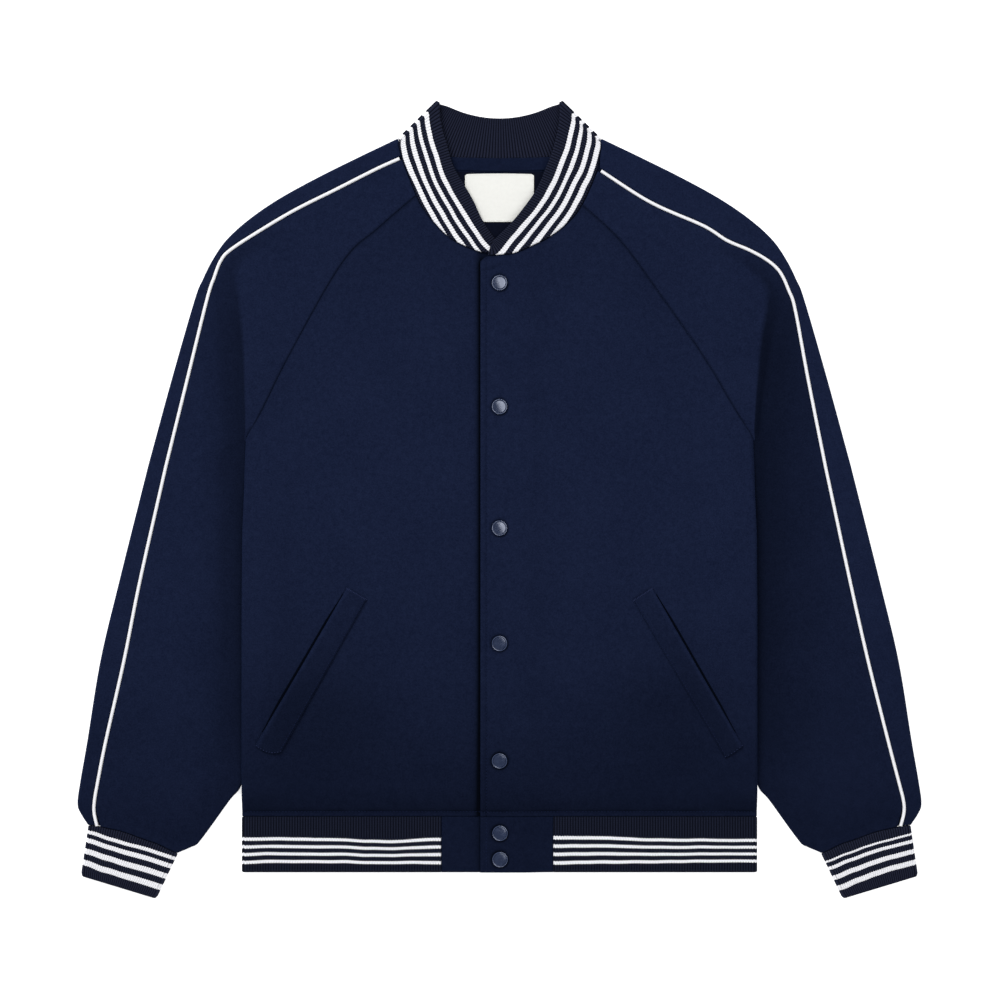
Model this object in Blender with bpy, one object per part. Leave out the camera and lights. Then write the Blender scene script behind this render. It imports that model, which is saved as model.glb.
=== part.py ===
"""A varsity jacket laid flat on its back: wool body, raglan sleeves, rib-knit collar, cuffs and hem.

Sizes are in millimetres, and a mesh is turned to metres where it is made. +Z is up, the jacket rests on
z = 0 with its collar towards +Y, and the wearer's left is at +X. The origin is the middle of its
footprint. Each cloth piece is a wall round a middle surface, given by a function of two numbers:
how far across the piece, and how far along it. The top layer lies on the bottom one, the body's sides
lie on the sleeves, and the left front lies on the right one.

Plan tables hold half of the jacket: out is the distance from the centre line, towards either side.
"""

import math

import bmesh
import bpy
import numpy as np
from mathutils import Matrix, Vector

MM = 0.001
# Gaps between pieces, and the wider one to the collar, whose seam has shorter straight stretches
GAP = 0.3
NECK_GAP = 0.65

# Walls and the heights of their middle surfaces
CLOTH = 2.4
RIB_BAND = 2.6
BACK_MID = CLOTH / 2
FRONT_MID = 5.6
RIB_BACK_MID = RIB_BAND / 2
RIB_FRONT_MID = 5.6
TUCKED_MID = 4.5
OVERLAP_RISE = 3.0
TURN = math.radians(86)

# Body
HEM_SEAM = -309.9
HEM_END = -364.6
HALF_BODY = 252.0
LEFT_FRONT_EDGE = -18.6
RIGHT_FRONT_EDGE = 19.0
UNDERARM = 57.3
SIDE_EDGE = ((-120, 252.0), (-50, 251.0), (27, 248.6), (57, 247.8))
FRONT_RISE = ((-307, 0.0), (-284, 6.2), (-25, 6.2), (47, 3.2), (100, 2.8), (160, 1.6), (240, 0.0))
BACK_RISE = ((-307, 0.0), (-284, 6.2), (-25, 6.2), (50, 0.0))
RISE_FROM, RISE_TO = 190, 235
# Levels that every column of a body panel has, and the count of rows above the last of them
PANEL_LEVELS = (HEM_SEAM, -297.0, -283.0, -264.0, -150.0, -30.0)
PANEL_ROWS_ABOVE = 4
OVERLAP_FLAT, OVERLAP_EASED = 21, 48
BLOUSE = 1.4
BLOUSE_RISE, BLOUSE_FULL, BLOUSE_FALL = 14, 18, 44

# Rib knit, and a band's rows: place along it, and its share of the full thickness at the folded edge
RIB_PITCH = 2.6
RIB_DEPTH = 0.45
BAND_ROWS = ((0, 1.0), (0.95, 1.0), (1, 0.55))
BAND_TURN_STEPS = 5

# Small pieces. A turned edge keeps this share of the thickness
EDGE_SHARE = 0.6
PIPING_RADIUS = 1.6
PIPING_PROUD = 0.9
PIPING_START, PIPING_END = 0.006, 1.99
WELT_THICKNESS = 2.0
SNAP_RADIUS = 7.5
SNAP_HEIGHTS = (212.7, 90.7, -27.9, -140.6, -255.3, -326.8, -353.3)
SNAP_OUT = {-326.8: 0.5, -353.3: 0.5}
SNAP_PROFILE = (
    # radius, height
    (0.0, 0.0),
    (SNAP_RADIUS, 0.0),
    (SNAP_RADIUS, 1.1),
    (6.9, 1.8),
    (6.1, 1.5),
    (3.2, 1.9),
    (0.0, 2.1),
)
TAB_LEFT_END = 52.4
TAB_RIGHT_END = -56.7
FACING_DEPTH, FACING_HALF = 12.5, 60
LINING_FOOT, LINING_HALF, LINING_FOOT_HALF = 246, 62, 44
FACING_THICKNESS = 1.0
LABEL_HALF, LABEL_TOP, LABEL_FOOT, LABEL_THICKNESS = 33.8, 319, 271.5, 0.8

# Collar sections from the side fold to the front end: top edge, neck seam, and their heights
COLLAR_RIGHT = (
    # top out, top y, top z, seam out, seam y, seam z
    (58.3, 379.0, 7.4, 98.7, 349.5, 6.5),
    (56.0, 363.0, 8.2, 97.6, 343.0, 6.3),
    (51.1, 346.5, 8.8, 94.0, 330.5, 6.0),
    (45.1, 326.3, 9.2, 87.0, 312.5, 5.8),
    (34.8, 308.0, 9.2, 77.0, 289.0, 5.7),
    (25.7, 292.2, 8.9, 64.5, 272.0, 5.7),
    (16.6, 273.1, 8.0, 47.5, 255.5, 5.7),
    (4.6, 255.8, 5.7, 22.0, 243.4, 5.4),
    (-7.0, 246.8, 5.3, 2.0, 240.6, 5.3),
    (-19.0, 240.6, 5.3, -19.0, 237.9, 5.3),
)
COLLAR_LEFT = (
    (58.8, 379.0, 7.4, 99.8, 348.5, 6.5),
    (57.2, 363.0, 8.2, 98.5, 340.5, 6.3),
    (52.4, 342.5, 8.8, 95.5, 324.0, 6.0),
    (44.9, 323.3, 9.3, 88.5, 305.0, 5.8),
    (36.5, 303.8, 9.6, 77.5, 283.5, 5.7),
    (25.0, 287.0, 9.9, 64.0, 268.5, 5.9),
    (11.9, 270.8, 9.9, 46.0, 255.5, 6.3),
    (-3.1, 255.8, 9.4, 18.0, 242.2, 8.7),
    (-11.5, 247.0, 9.0, -4.0, 238.9, 8.7),
    (-18.4, 240.6, 8.8, -18.4, 237.9, 8.7),
)
COLLAR_PEAK = (61.3, 390.5)
COLLAR_SIDE = (99.6, 353.3)
COLLAR_FOLD_TOP, COLLAR_FOLD_SEAM = 3.0, 2.6
COLLAR_BACK_DIP = 373.4
# Sections of the collar's back, as shares of the way out, and how much closer its ribs stand at the seam
COLLAR_BACK_SHARES = (0.82, 0.6, 0.4, 0.2)
COLLAR_BACK_SPREAD = 0.12
# A collar point further out than this belongs to a side fold or a front
COLLAR_FOLD_FROM = 59.5
COLLAR_STEPS = 14
BACK_NECK = ((0, 333.1), (50, 334.6), (72, 338.4), (88, 345.0), (99.6, 353.3))

# Sleeve lines, each from the neck to underarm level and from there to the cuff
OUTER_FOLD = (
    ((99.6, 353.3), (142.6, 332.7), (181.8, 313.1), (217.1, 293.5), (245.5, 273.9), (267.1, 254.3),
     (280.8, 234.7), (290.6, 215.1), (298.4, 195.5), (321.0, 117.1), (343.9, 33.0)),
    ((343.9, 33.0), (371.9, -78.9), (390.5, -157.3), (403.3, -235.7), (410.1, -274.9), (413.3, -299.0),
     (410.1, -310.0), (403.3, -321.6)),
)
UNDERARM_FOLD = ((248.4, 57.8), (248.9, 40.0), (249.8, 15.0), (251.2, -20.0), (246.0, -60.0), (238.5, -110.0),
                 (238.0, -190.0), (243.0, -245.0), (252.6, -279.8), (264.1, -294.5), (292.5, -333.7),
                 (300.0, -339.5), (315.1, -346.1))
ARM_FOLD = {
    -1: ((90.0, 318.0), (150.0, 284.0), (215.0, 259.0), (250.0, 240.0), (260.5, 220.0),
         (257.0, 195.0), (252.6, 156.9), (250.2, 113.8), (248.8, 75.0), (248.7, 58.6)),
    1: ((90.0, 309.0), (150.0, 276.0), (205.0, 250.0), (243.0, 230.0), (263.0, 211.0),
        (264.0, 190.0), (257.5, 154.4), (252.4, 108.3), (249.6, 75.0), (248.7, 58.6)),
}
BACK_RAGLAN = ((72.0, 338.4), (112.0, 285.0), (165.0, 205.0), (215.0, 118.0), (242.8, 57.4))
RAGLAN = {
    -1: ((81.5, 297.0), (118.0, 265.5), (152.9, 232.4), (202.6, 146.2), (232.7, 84.0), (242.8, 57.4)),
    1: ((80.6, 288.0), (118.9, 251.9), (159.2, 197.2), (199.4, 139.7), (225.3, 96.5), (242.8, 57.4)),
}
PIPING = {
    -1: (((95.6, 334.4), (121.0, 322.9), (159.7, 303.3), (198.9, 283.7), (232.3, 264.1), (262.5, 244.5),
          (272.5, 233.5), (279.0, 217.0), (286.0, 195.5), (305.3, 117.1), (326.0, 33.0)),
         ((326.0, 33.0), (351.3, -78.9), (367.0, -157.3), (384.7, -235.7), (392.5, -274.9),
          (395.9, -294.5), (396.4, -306.3), (393.0, -323.0))),
    1: (((97.3, 322.6), (147.7, 290.6), (199.4, 267.6), (222.4, 253.3), (245.0, 243.5), (262.5, 233.5),
         (274.5, 222.0), (283.0, 204.0), (289.1, 185.5), (301.8, 117.1), (318.5, 33.0)),
        ((318.5, 33.0), (342.5, -78.9), (360.2, -157.3), (379.8, -235.7), (390.0, -274.9),
         (394.9, -294.5), (395.4, -306.3), (391.5, -323.0))),
}
# Stations along a sleeve: 0 at the neck, 1 at underarm level, 2 at the cuff
STATIONS_RAGLAN = (0, 0.1, 0.2, 0.3, 0.4, 0.45, 0.5, 0.55, 0.6, 0.68, 0.78, 0.89, 0.97, 1)
STATIONS_ARM = (1.01, 1.05, 1.2, 1.35, 1.5, 1.65, 1.8, 1.88, 1.93, 1.97, 2)
# Heights of the sleeve's top layer by station
FOLD_LOW = ((0.3, 6.0), (0.55, 5.2), (0.85, TUCKED_MID), (1.85, TUCKED_MID), (2.0, 5.3))
CROWN = ((0.0, 5.8), (0.4, 6.8), (1.0, 7.2), (1.75, 7.2), (1.9, 8.2), (2.0, 5.4))
PIPING_MID = ((0.0, 5.9), (0.3, 6.2), (1.0, 6.6), (1.9, 7.2), (2.0, 5.5))
OUTER_EDGE = ((0.0, 6.2), (0.35, 5.6), (0.5, 5.0), (0.7, 5.6), (1.9, 6.4), (2.0, 5.4))
STEP_WIDTH = ((0.3, 30.0), (0.6, 12.0), (1.0, 5.0), (2.0, 5.0))
CROWN_REACH = 34
# The sleeve's top layer stays low under the body's side for this far past it
SIDE_CLEARANCE = 1.5
# Up to this station a sleeve's rows keep clear of the neck seam
NECK_STATION = 0.1
# Where a sleeve's back leaves the corner of the back neck and the raglan seam
BACK_NECK_START = 0.006

# Cuff corners: the seam to the sleeve and the folded end, outer and inner
CUFF_SEAM_OUTER, CUFF_SEAM_INNER = (403.2, -322.4), (315.2, -346.9)
CUFF_END_OUTER, CUFF_END_INNER = (409.6, -368.2), (336.0, -390.5)

# Pocket welt corners: top outer, top inner, foot outer, foot inner
WELT = {
    -1: ((151.2, -85.2), (129.7, -97.4), (237.7, -237.7), (211.5, -250.0)),
    1: ((150.5, -86.6), (130.4, -98.1), (238.2, -239.0), (217.0, -251.5)),
}

FINISHES = {
    # sRGB colour, roughness, metallic
    "wool": ("17203A", 0.95, 0.0),
    "rib": ("1B1E2F", 0.95, 0.0),
    "trim": ("E9EAEE", 0.85, 0.0),
    "lining": ("141A30", 0.6, 0.0),
    "label": ("E8E8E3", 0.5, 0.0),
    "snap": ("6E7387", 0.35, 0.9),
}


def clear_scene():
    for obj in list(bpy.data.objects):
        bpy.data.objects.remove(obj, do_unlink=True)


def linear(hex_colour):
    """sRGB hex digits as linear red, green, blue and alpha."""
    parts = [int(hex_colour[i : i + 2], 16) / 255 for i in (0, 2, 4)]
    return [c / 12.92 if c <= 0.04045 else ((c + 0.055) / 1.055) ** 2.4 for c in parts] + [1.0]


def finish(name):
    """The material of that name, made once."""
    material = bpy.data.materials.get(name)
    if material is None:
        colour, roughness, metallic = FINISHES[name]
        material = bpy.data.materials.new(name)
        material.use_nodes = True
        shader = material.node_tree.nodes["Principled BSDF"]
        shader.inputs["Base Color"].default_value = linear(colour)
        shader.inputs["Roughness"].default_value = roughness
        shader.inputs["Metallic"].default_value = metallic
    return material


def add_object(name, data, finish_name):
    obj = bpy.data.objects.new(name, data)
    data.materials.append(finish(finish_name))
    bpy.context.scene.collection.objects.link(obj)
    return obj


def smoothstep(value, low, high):
    part = min(max((value - low) / (high - low), 0.0), 1.0)
    return part * part * (3 - 2 * part)


def mix(first, second, part):
    return first + (second - first) * part


def eased(table, at):
    """The table's value at a place, eased between its rows."""
    if at <= table[0][0]:
        return table[0][1]
    for (low, first), (high, second) in zip(table, table[1:]):
        if at <= high:
            return mix(first, second, smoothstep(at, low, high))
    return table[-1][1]


def curve_through(points, steps=10):
    """Points on a smooth curve through the given ones (a Catmull-Rom spline)."""
    points = np.array(points, float)
    ends = np.vstack([2 * points[0] - points[1], points, 2 * points[-1] - points[-2]])
    out = []
    for before, start, end, after in zip(ends, ends[1:], ends[2:], ends[3:]):
        for t in np.arange(steps) / steps:
            out.append(0.5 * (2 * start + (end - before) * t + (2 * before - 5 * start + 4 * end - after) * t**2
                              + (3 * start - before - 3 * end + after) * t**3))
    return np.array(out + [points[-1]])


class Line:
    """A smooth line in plan, read by the share of its length, or by either coordinate."""

    def __init__(self, points, dense=False):
        self.points = np.array(points, float) if dense else curve_through(points)
        steps = np.linalg.norm(np.diff(self.points, axis=0), axis=1)
        self.run = np.concatenate([[0], np.cumsum(steps)]) / steps.sum()
        self.length = steps.sum()

    def at(self, share):
        return np.array([np.interp(share, self.run, axis) for axis in self.points.T])

    def direction(self, share):
        way = self.at(min(share + 0.01, 1)) - self.at(max(share - 0.01, 0))
        return way / np.linalg.norm(way)

    def outward(self, share):
        """The unit normal on the line's left-hand side."""
        way = self.direction(share)
        return np.array([-way[1], way[0]])

    def shifted(self, distance):
        """The line moved to its left-hand side by a distance."""
        way = np.gradient(self.points, axis=0)
        way /= np.linalg.norm(way, axis=1, keepdims=True)
        return Line(self.points + distance * np.column_stack([-way[:, 1], way[:, 0]]), dense=True)

    def outs(self, until, count):
        """How far out evenly spaced points lie, up to the point that lies that far out."""
        last = float(np.interp(until, self.points[:, 0], self.run))
        return [float(self.at(last * i / count)[0]) for i in range(1, count + 1)]

    def y_at(self, out):
        order = np.argsort(self.points[:, 0])
        return float(np.interp(out, self.points[order, 0], self.points[order, 1]))

    def out_at(self, y):
        order = np.argsort(self.points[:, 1])
        return float(np.interp(y, self.points[order, 1], self.points[order, 0]))


def unit(vector):
    return vector / np.linalg.norm(vector)


def normal_of(surface, u, v, step=1e-3):
    """The unit normal of a middle surface: across by along."""
    low_u, high_u = max(u - step, surface.span[0]), min(u + step, surface.span[1])
    low_v, high_v = surface.near(v, step)
    across = surface(high_u, v) - surface(low_u, v)
    along = surface(u, high_v) - surface(u, low_v)
    return unit(np.cross(unit(across), unit(along)))


class Surface:
    """A piece's middle surface, with the range of both of its numbers.

    ahead is how far the first row looks along the piece for its direction.
    """

    def __init__(self, function, span=(0, 1), reach=(0, 1), ahead=0.0):
        self.function, self.span, self.reach, self.ahead = function, span, reach, ahead

    def near(self, v, step):
        if self.ahead and v <= self.reach[0]:
            return v, v + self.ahead
        return max(v - step, self.reach[0]), min(v + step, self.reach[1])

    def __call__(self, u, v):
        return np.array(self.function(u, v), float)


def plain(stations):
    """Stations across a piece with a flat face."""
    return [(u, 0.0) for u in stations]


def ribbed(start, end, pitch=RIB_PITCH, scale=1.0):
    """Stations across a piece with a rib to each pitch, ridge and furrow by turns."""
    steps = 2 * round((end - start) / (pitch * scale))
    return [(start + (end - start) * i / steps, RIB_DEPTH if i % 2 else 0.0) for i in range(steps + 1)]


def spread(*stops):
    """Stations from one stop to the next: a place, then the count of steps to the next place, and so on."""
    out = [stops[0]]
    for start, count, end in zip(stops[0::2], stops[1::2], stops[2::2]):
        out += [start + (end - start) * (i + 1) / count for i in range(count)]
    return out


def zip_rows(mesh, first, first_at, second, second_at):
    """Triangles between two rows of points with different stations."""
    i = j = 0
    while i < len(first) - 1 or j < len(second) - 1:
        if j == len(second) - 1 or (i < len(first) - 1 and first_at[i + 1] <= second_at[j + 1]):
            mesh.faces.new((first[i], first[i + 1], second[j]))
            i += 1
        else:
            mesh.faces.new((first[i], second[j + 1], second[j]))
            j += 1


def sheet_solid(name, finish_name, surface, rows, upper, under=None, thickness=CLOTH, loop=False):
    """A closed wall round a middle surface.

    rows are (place along, share of the full thickness). upper and under are (place across, relief) for
    the two faces, which may have different stations. A loop joins its first and last stations.
    """
    under = upper if under is None else under
    mesh = bmesh.new()
    grids = []
    for stations, side in ((upper, 1), (under, -1)):
        grid = []
        for v, share in rows:
            row = []
            for u, relief in stations[: -1 if loop else None]:
                away = side * (thickness / 2 + relief) * share * normal_of(surface, u, v)
                row.append(mesh.verts.new(Vector(MM * (surface(u, v) + away))))
            grid.append(row + row[:1] if loop else row)
        grids.append(grid)
        for low, high in zip(grid, grid[1:]):
            for i in range(len(low) - 1):
                mesh.faces.new((low[i], low[i + 1], high[i + 1], high[i]))
    places = [[u for u, _ in stations] for stations in (upper, under)]
    for end in (0, -1):
        zip_rows(mesh, grids[0][end], places[0], grids[1][end], places[1])
    if not loop:
        for end in (0, -1):
            for i in range(len(rows) - 1):
                mesh.faces.new((grids[0][i][end], grids[0][i + 1][end], grids[1][i + 1][end], grids[1][i][end]))
    bmesh.ops.recalc_face_normals(mesh, faces=mesh.faces)
    data = bpy.data.meshes.new(name)
    mesh.to_mesh(data)
    mesh.free()
    data.shade_smooth()
    data.set_sharp_from_angle(angle=math.radians(50))
    return add_object(name, data, finish_name)


def even(count):
    """Rows from 0 to 1 at full thickness."""
    return [(i / count, 1.0) for i in range(count + 1)]


# Heights


def overlap_rise(x):
    """How far the left front rises to lie on the right one."""
    return OVERLAP_RISE * (1 - smoothstep(x, OVERLAP_FLAT, OVERLAP_EASED))


def front_height(x, y, lapped=False):
    """The middle of the front layer, from its body to the arm fold."""
    rise = eased(FRONT_RISE, y) * smoothstep(abs(x), RISE_FROM, RISE_TO)
    above = y - HEM_SEAM
    blouse = BLOUSE * smoothstep(above, 0, BLOUSE_RISE) * (1 - smoothstep(above, BLOUSE_FULL, BLOUSE_FALL))
    return FRONT_MID + rise + blouse + (overlap_rise(x) if lapped else 0.0)


def back_height(x, y):
    return BACK_MID + eased(BACK_RISE, y) * smoothstep(abs(x), RISE_FROM, RISE_TO)


def side_radius(y):
    """The radius of each quarter turn at the side seam."""
    return (front_height(HALF_BODY, y) - back_height(HALF_BODY, y)) / 2


def side_centre(y):
    """Where the side turns start, out from the centre line."""
    y = min(y, UNDERARM)
    return eased(SIDE_EDGE, y) - CLOTH / 2 - side_radius(y)


def panel_level(row, top):
    """How high a body panel's row lies in a column that ends at top."""
    last = len(PANEL_LEVELS) - 1
    if row <= last:
        return float(np.interp(row, range(last + 1), PANEL_LEVELS))
    return mix(PANEL_LEVELS[-1], top, (row - last) / PANEL_ROWS_ABOVE)


def panel_solid(name, place, span, stations):
    last_row = len(PANEL_LEVELS) - 1 + PANEL_ROWS_ABOVE
    rows = [(row, 1.0) for row in range(last_row + 1)]
    return sheet_solid(name, "wool", Surface(place, span, (0, last_row)), rows, plain(stations))


# Body


def neck_seam(side):
    """The front neck seam of a side, from its front end to the shoulder."""
    table = COLLAR_LEFT if side > 0 else COLLAR_RIGHT
    points = [row[3:5] for row in reversed(table)] + [COLLAR_SIDE]
    return Line(points)


def front_panel(side):
    seam = neck_seam(side).shifted(-NECK_GAP)
    raglan = Line(RAGLAN[side])
    corner = raglan.points[0, 0]
    edge = LEFT_FRONT_EDGE if side > 0 else -RIGHT_FRONT_EDGE
    top_side = side_centre(UNDERARM)

    def place(u, v):
        flat = min(u, 1)
        top_out = mix(edge, top_side, flat)
        top = seam.y_at(top_out) if top_out < corner else raglan.y_at(top_out)
        y = panel_level(v, top)
        out = mix(edge, side_centre(y), flat)
        z = front_height(out, y) + (overlap_rise(out) if side > 0 else 0.0)
        if u > 1:
            radius, turn = side_radius(y), (u - 1) * TURN
            out += radius * math.sin(turn)
            z -= radius * (1 - math.cos(turn))
        return side * out, y, z

    outs = seam.outs(corner, 12) + [raglan.at(station)[0] for station in STATIONS_RAGLAN[1:-1]]
    stations = [0.0] + [(out - edge) / (top_side - edge) for out in outs] + spread(1, 3, 2)
    name = "front_left" if side > 0 else "front_right"
    return panel_solid(name, place, (0, 2), stations)


def back_panel():
    neck = Line(BACK_NECK).shifted(-NECK_GAP)
    raglan = Line(BACK_RAGLAN)
    corner = raglan.points[0, 0]
    top_side = side_centre(UNDERARM)

    def place(u, v):
        flat = min(abs(u), 1)
        top_out = flat * top_side
        top = neck.y_at(top_out) if top_out < corner else raglan.y_at(top_out)
        y = panel_level(v, top)
        out = flat * side_centre(y)
        z = back_height(out, y)
        if abs(u) > 1:
            radius, turn = side_radius(y), (abs(u) - 1) * TURN
            out += radius * math.sin(turn)
            z += radius * (1 - math.cos(turn))
        return math.copysign(out, u), y, z

    along_raglan = [raglan.at(station)[0] / top_side for station in STATIONS_RAGLAN[1:-1]]
    half = spread(0, 4, corner / top_side) + along_raglan + spread(1, 3, 2)
    stations = [-u for u in reversed(half[1:])] + half
    return panel_solid("back", place, (-2, 2), stations)


# Sleeves


class Sleeve:
    """One raglan sleeve's plan and its two halves. A station runs from 0 at the neck to 2 at the cuff."""

    ARM = 0.3
    UNDER, OUTER, OVER = 0.12, 0.5, 0.8

    def __init__(self, side):
        self.side = side
        self.raglan = Line(RAGLAN[side]).shifted(GAP)
        self.back_raglan = Line(BACK_RAGLAN).shifted(GAP)
        self.arm_fold = Line(ARM_FOLD[side])
        self.underarm = Line(UNDERARM_FOLD)
        self.outer = [Line(part) for part in OUTER_FOLD]
        self.piping = [Line(part) for part in PIPING[side]]
        self.seam = neck_seam(side).shifted(-NECK_GAP - GAP / 2)
        self.back_neck = Line(BACK_NECK).shifted(-NECK_GAP)

    @staticmethod
    def on(parts, station):
        return parts[0].at(station) if station < 1 else parts[1].at(station - 1)

    @staticmethod
    def outward(parts, station):
        return parts[0].outward(station) if station < 1 else parts[1].outward(station - 1)

    def underarm_turn(self, station, towards):
        """The centre in plan and the radius of the underarm turns, and the way into the sleeve."""
        fold = self.underarm.at(station - 1)
        inward = unit(towards - fold)
        radius = (eased(FOLD_LOW, station) - BACK_MID) / 2
        return fold + (radius + CLOTH / 2) * inward, radius, inward

    def crown_height(self, out_from_fold, left_over, station):
        """The top layer's height past the arm fold: low beside it, full in the middle."""
        low, crown = eased(FOLD_LOW, station), eased(CROWN, station)
        height = mix(low, crown, smoothstep(out_from_fold, 0, CROWN_REACH))
        return mix(eased(PIPING_MID, station), height, smoothstep(left_over, 0, CROWN_REACH))

    def clear_of_neck(self, plan, station):
        """How far out a point near the neck lies, kept outside the neck seam."""
        return max(plan[0], mix(self.seam.out_at(plan[1]), plan[0], station / NECK_STATION))

    def front_place(self, u, station):
        pipe = self.on(self.piping, station)
        if station < 1:
            inner, fold = self.raglan.at(station), self.arm_fold.at(station)
        else:
            fold, radius, inward = self.underarm_turn(station, pipe)
        edge = pipe - (PIPING_RADIUS + GAP) * self.outward(self.piping, station)
        if u > self.ARM:
            plan = mix(fold, edge, (u - self.ARM) / (1 - self.ARM))
            away, left_over = np.linalg.norm(plan - fold), np.linalg.norm(edge - plan)
            past = away - max(HALF_BODY + SIDE_CLEARANCE - fold[0], 0) if station > 1 else away
            z = self.crown_height(past, left_over, station)
            if station < 1:
                stepped = smoothstep(away, 0, eased(STEP_WIDTH, station))
                z = mix(front_height(fold[0], fold[1]), z, stepped)
        elif station < 1:
            plan = mix(inner, fold, u / self.ARM)
            z = front_height(plan[0], plan[1])
        else:
            turn = TURN * (1 - u / self.ARM)
            plan = fold - radius * math.sin(turn) * inward
            z = BACK_MID + radius * (1 + math.cos(turn))
        if station < NECK_STATION:
            plan[0] = self.clear_of_neck(plan, station)
        return self.side * plan[0], plan[1], z

    def back_place(self, u, station):
        outer, pipe = self.on(self.outer, station), self.on(self.piping, station)
        outward = self.outward(self.outer, station)
        radius = (eased(OUTER_EDGE, station) - BACK_MID) / 2
        centre = outer - (radius + CLOTH / 2) * outward
        if u > self.OVER:
            edge = pipe + (PIPING_RADIUS + GAP) * self.outward(self.piping, station)
            part = (u - self.OVER) / (1 - self.OVER)
            plan = mix(centre, edge, part)
            if station < NECK_STATION:
                plan[0] = self.clear_of_neck(plan, station)
            z = mix(eased(OUTER_EDGE, station), eased(PIPING_MID, station), part)
        elif u > self.OUTER:
            turn = math.pi * (u - self.OUTER) / (self.OVER - self.OUTER)
            plan = centre + radius * math.sin(turn) * outward
            z = BACK_MID + radius * (1 - math.cos(turn))
        elif station < 1:
            inner = self.back_raglan.at(max(station, BACK_NECK_START))
            plan = mix(inner, centre, u / self.OUTER)
            if station < NECK_STATION:
                plan[1] = min(plan[1], mix(self.back_neck.y_at(plan[0]), plan[1], station / NECK_STATION))
            z = BACK_MID
        else:
            fold, under, inward = self.underarm_turn(station, pipe)
            if u > self.UNDER:
                plan, z = mix(fold, centre, (u - self.UNDER) / (self.OUTER - self.UNDER)), BACK_MID
            else:
                turn = TURN * (1 - u / self.UNDER)
                plan = fold - under * math.sin(turn) * inward
                z = BACK_MID + under * (1 - math.cos(turn))
        return self.side * plan[0], plan[1], z

    def build(self):
        end = "left" if self.side > 0 else "right"
        rows = [(v, 1.0) for v in STATIONS_RAGLAN + STATIONS_ARM]
        across = spread(0, 3, self.ARM, 1, self.ARM + 0.05, 5, 1)
        surface = Surface(self.front_place, reach=(0, 2), ahead=NECK_STATION)
        sheet_solid(f"sleeve_front_{end}", "wool", surface, rows, plain(across))
        across = spread(0, 2, self.UNDER, 2, self.OUTER, 4, self.OVER, 1, 1)
        surface = Surface(self.back_place, reach=(0, 2), ahead=NECK_STATION)
        sheet_solid(f"sleeve_back_{end}", "wool", surface, rows, plain(across))
        self.build_piping(end)

    def build_piping(self, end):
        """Corded piping in the over-arm seam, a little proud of both halves."""
        data = bpy.data.curves.new(f"piping_{end}", "CURVE")
        data.dimensions = "3D"
        data.bevel_depth = PIPING_RADIUS * MM
        data.bevel_resolution = 1
        data.use_fill_caps = True
        stations = (PIPING_START, *STATIONS_RAGLAN[1:], *STATIONS_ARM[1:-1], PIPING_END)
        spline = data.splines.new("POLY")
        spline.points.add(len(stations) - 1)
        for point, station in zip(spline.points, stations):
            plan = self.on(self.piping, station)
            z = eased(PIPING_MID, station) + PIPING_PROUD
            point.co = (self.side * plan[0] * MM, plan[1] * MM, z * MM, 1)
        add_object(data.name, data, "trim")


# Rib knit


def collar_stations():
    """The band's two long edges from its right end to its left end, with the turns at both side folds."""
    peak, side = np.array(COLLAR_PEAK), np.array(COLLAR_SIDE)
    way = unit(side - peak)
    outward = np.array([-way[1], way[0]])
    folds = []
    for turn in np.radians((90, 45, 0, -45, -90)):
        row = []
        for corner, radius in ((peak, COLLAR_FOLD_TOP), (side, COLLAR_FOLD_SEAM)):
            plan = corner + (radius * math.cos(turn) - radius - RIB_BAND / 2) * outward
            row += [plan[0], plan[1], RIB_BACK_MID + radius * (1 + math.sin(turn))]
        folds.append(row)
    back = []
    neck = Line(BACK_NECK)
    for share in COLLAR_BACK_SHARES:
        top_out = share * COLLAR_PEAK[0]
        seam_out = share * COLLAR_SIDE[0] * (1 - COLLAR_BACK_SPREAD * (1 - share))
        arc = COLLAR_BACK_DIP + (COLLAR_PEAK[1] - COLLAR_BACK_DIP) * share**2
        back.append([top_out, arc, RIB_BACK_MID, seam_out, neck.y_at(seam_out), RIB_BACK_MID])
    centre = [0, COLLAR_BACK_DIP, RIB_BACK_MID, 0, BACK_NECK[0][1], RIB_BACK_MID]
    halves = []
    for side, table in ((-1, COLLAR_RIGHT), (1, COLLAR_LEFT)):
        rows = np.array([*reversed(table), *folds, *back])
        rows[:, [0, 3]] *= side
        halves.append(rows)
    return np.vstack([halves[0], [centre], halves[1][::-1]])


def collar():
    rows = curve_through(collar_stations(), steps=4)
    middle = (rows[:, :3] + rows[:, 3:]) / 2
    run = np.concatenate([[0], np.cumsum(np.linalg.norm(np.diff(middle, axis=0), axis=1))])

    def place(u, v):
        point = np.array([np.interp(u, run, column) for column in rows.T])
        return mix(point[3:], point[:3], v)

    back = [float(at) for at, row in zip(run, rows) if row[2] < RIB_BACK_MID + 0.01]
    turn_from, turn_to = min(back), max(back)
    folds = [float(at) for at, row in zip(run, rows) if abs(row[0]) > COLLAR_FOLD_FROM]
    right = [at for at in folds if at < turn_from]
    left = [at for at in folds if at > turn_to]
    up_right, up_left = min(right), max(left)
    fronts = (spread(0, COLLAR_STEPS, up_right), spread(up_left, COLLAR_STEPS, float(run[-1])))
    turns = (spread(up_right, 6, turn_from), spread(turn_to, 6, up_left))
    outer = (ribbed(0, up_right) + plain(turns[0][1:]) + plain(spread(turn_from, 8, turn_to)[1:])
             + plain(turns[1][1:]) + ribbed(up_left, float(run[-1]))[1:])
    inner = (plain(fronts[0]) + plain(turns[0][1:]) + ribbed(turn_from, turn_to)[1:] + plain(turns[1][1:])
             + plain(fronts[1][1:]))
    surface = Surface(place, (0, float(run[-1])))
    return sheet_solid("collar", "rib", surface, BAND_ROWS, inner, outer, RIB_BAND)


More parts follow.
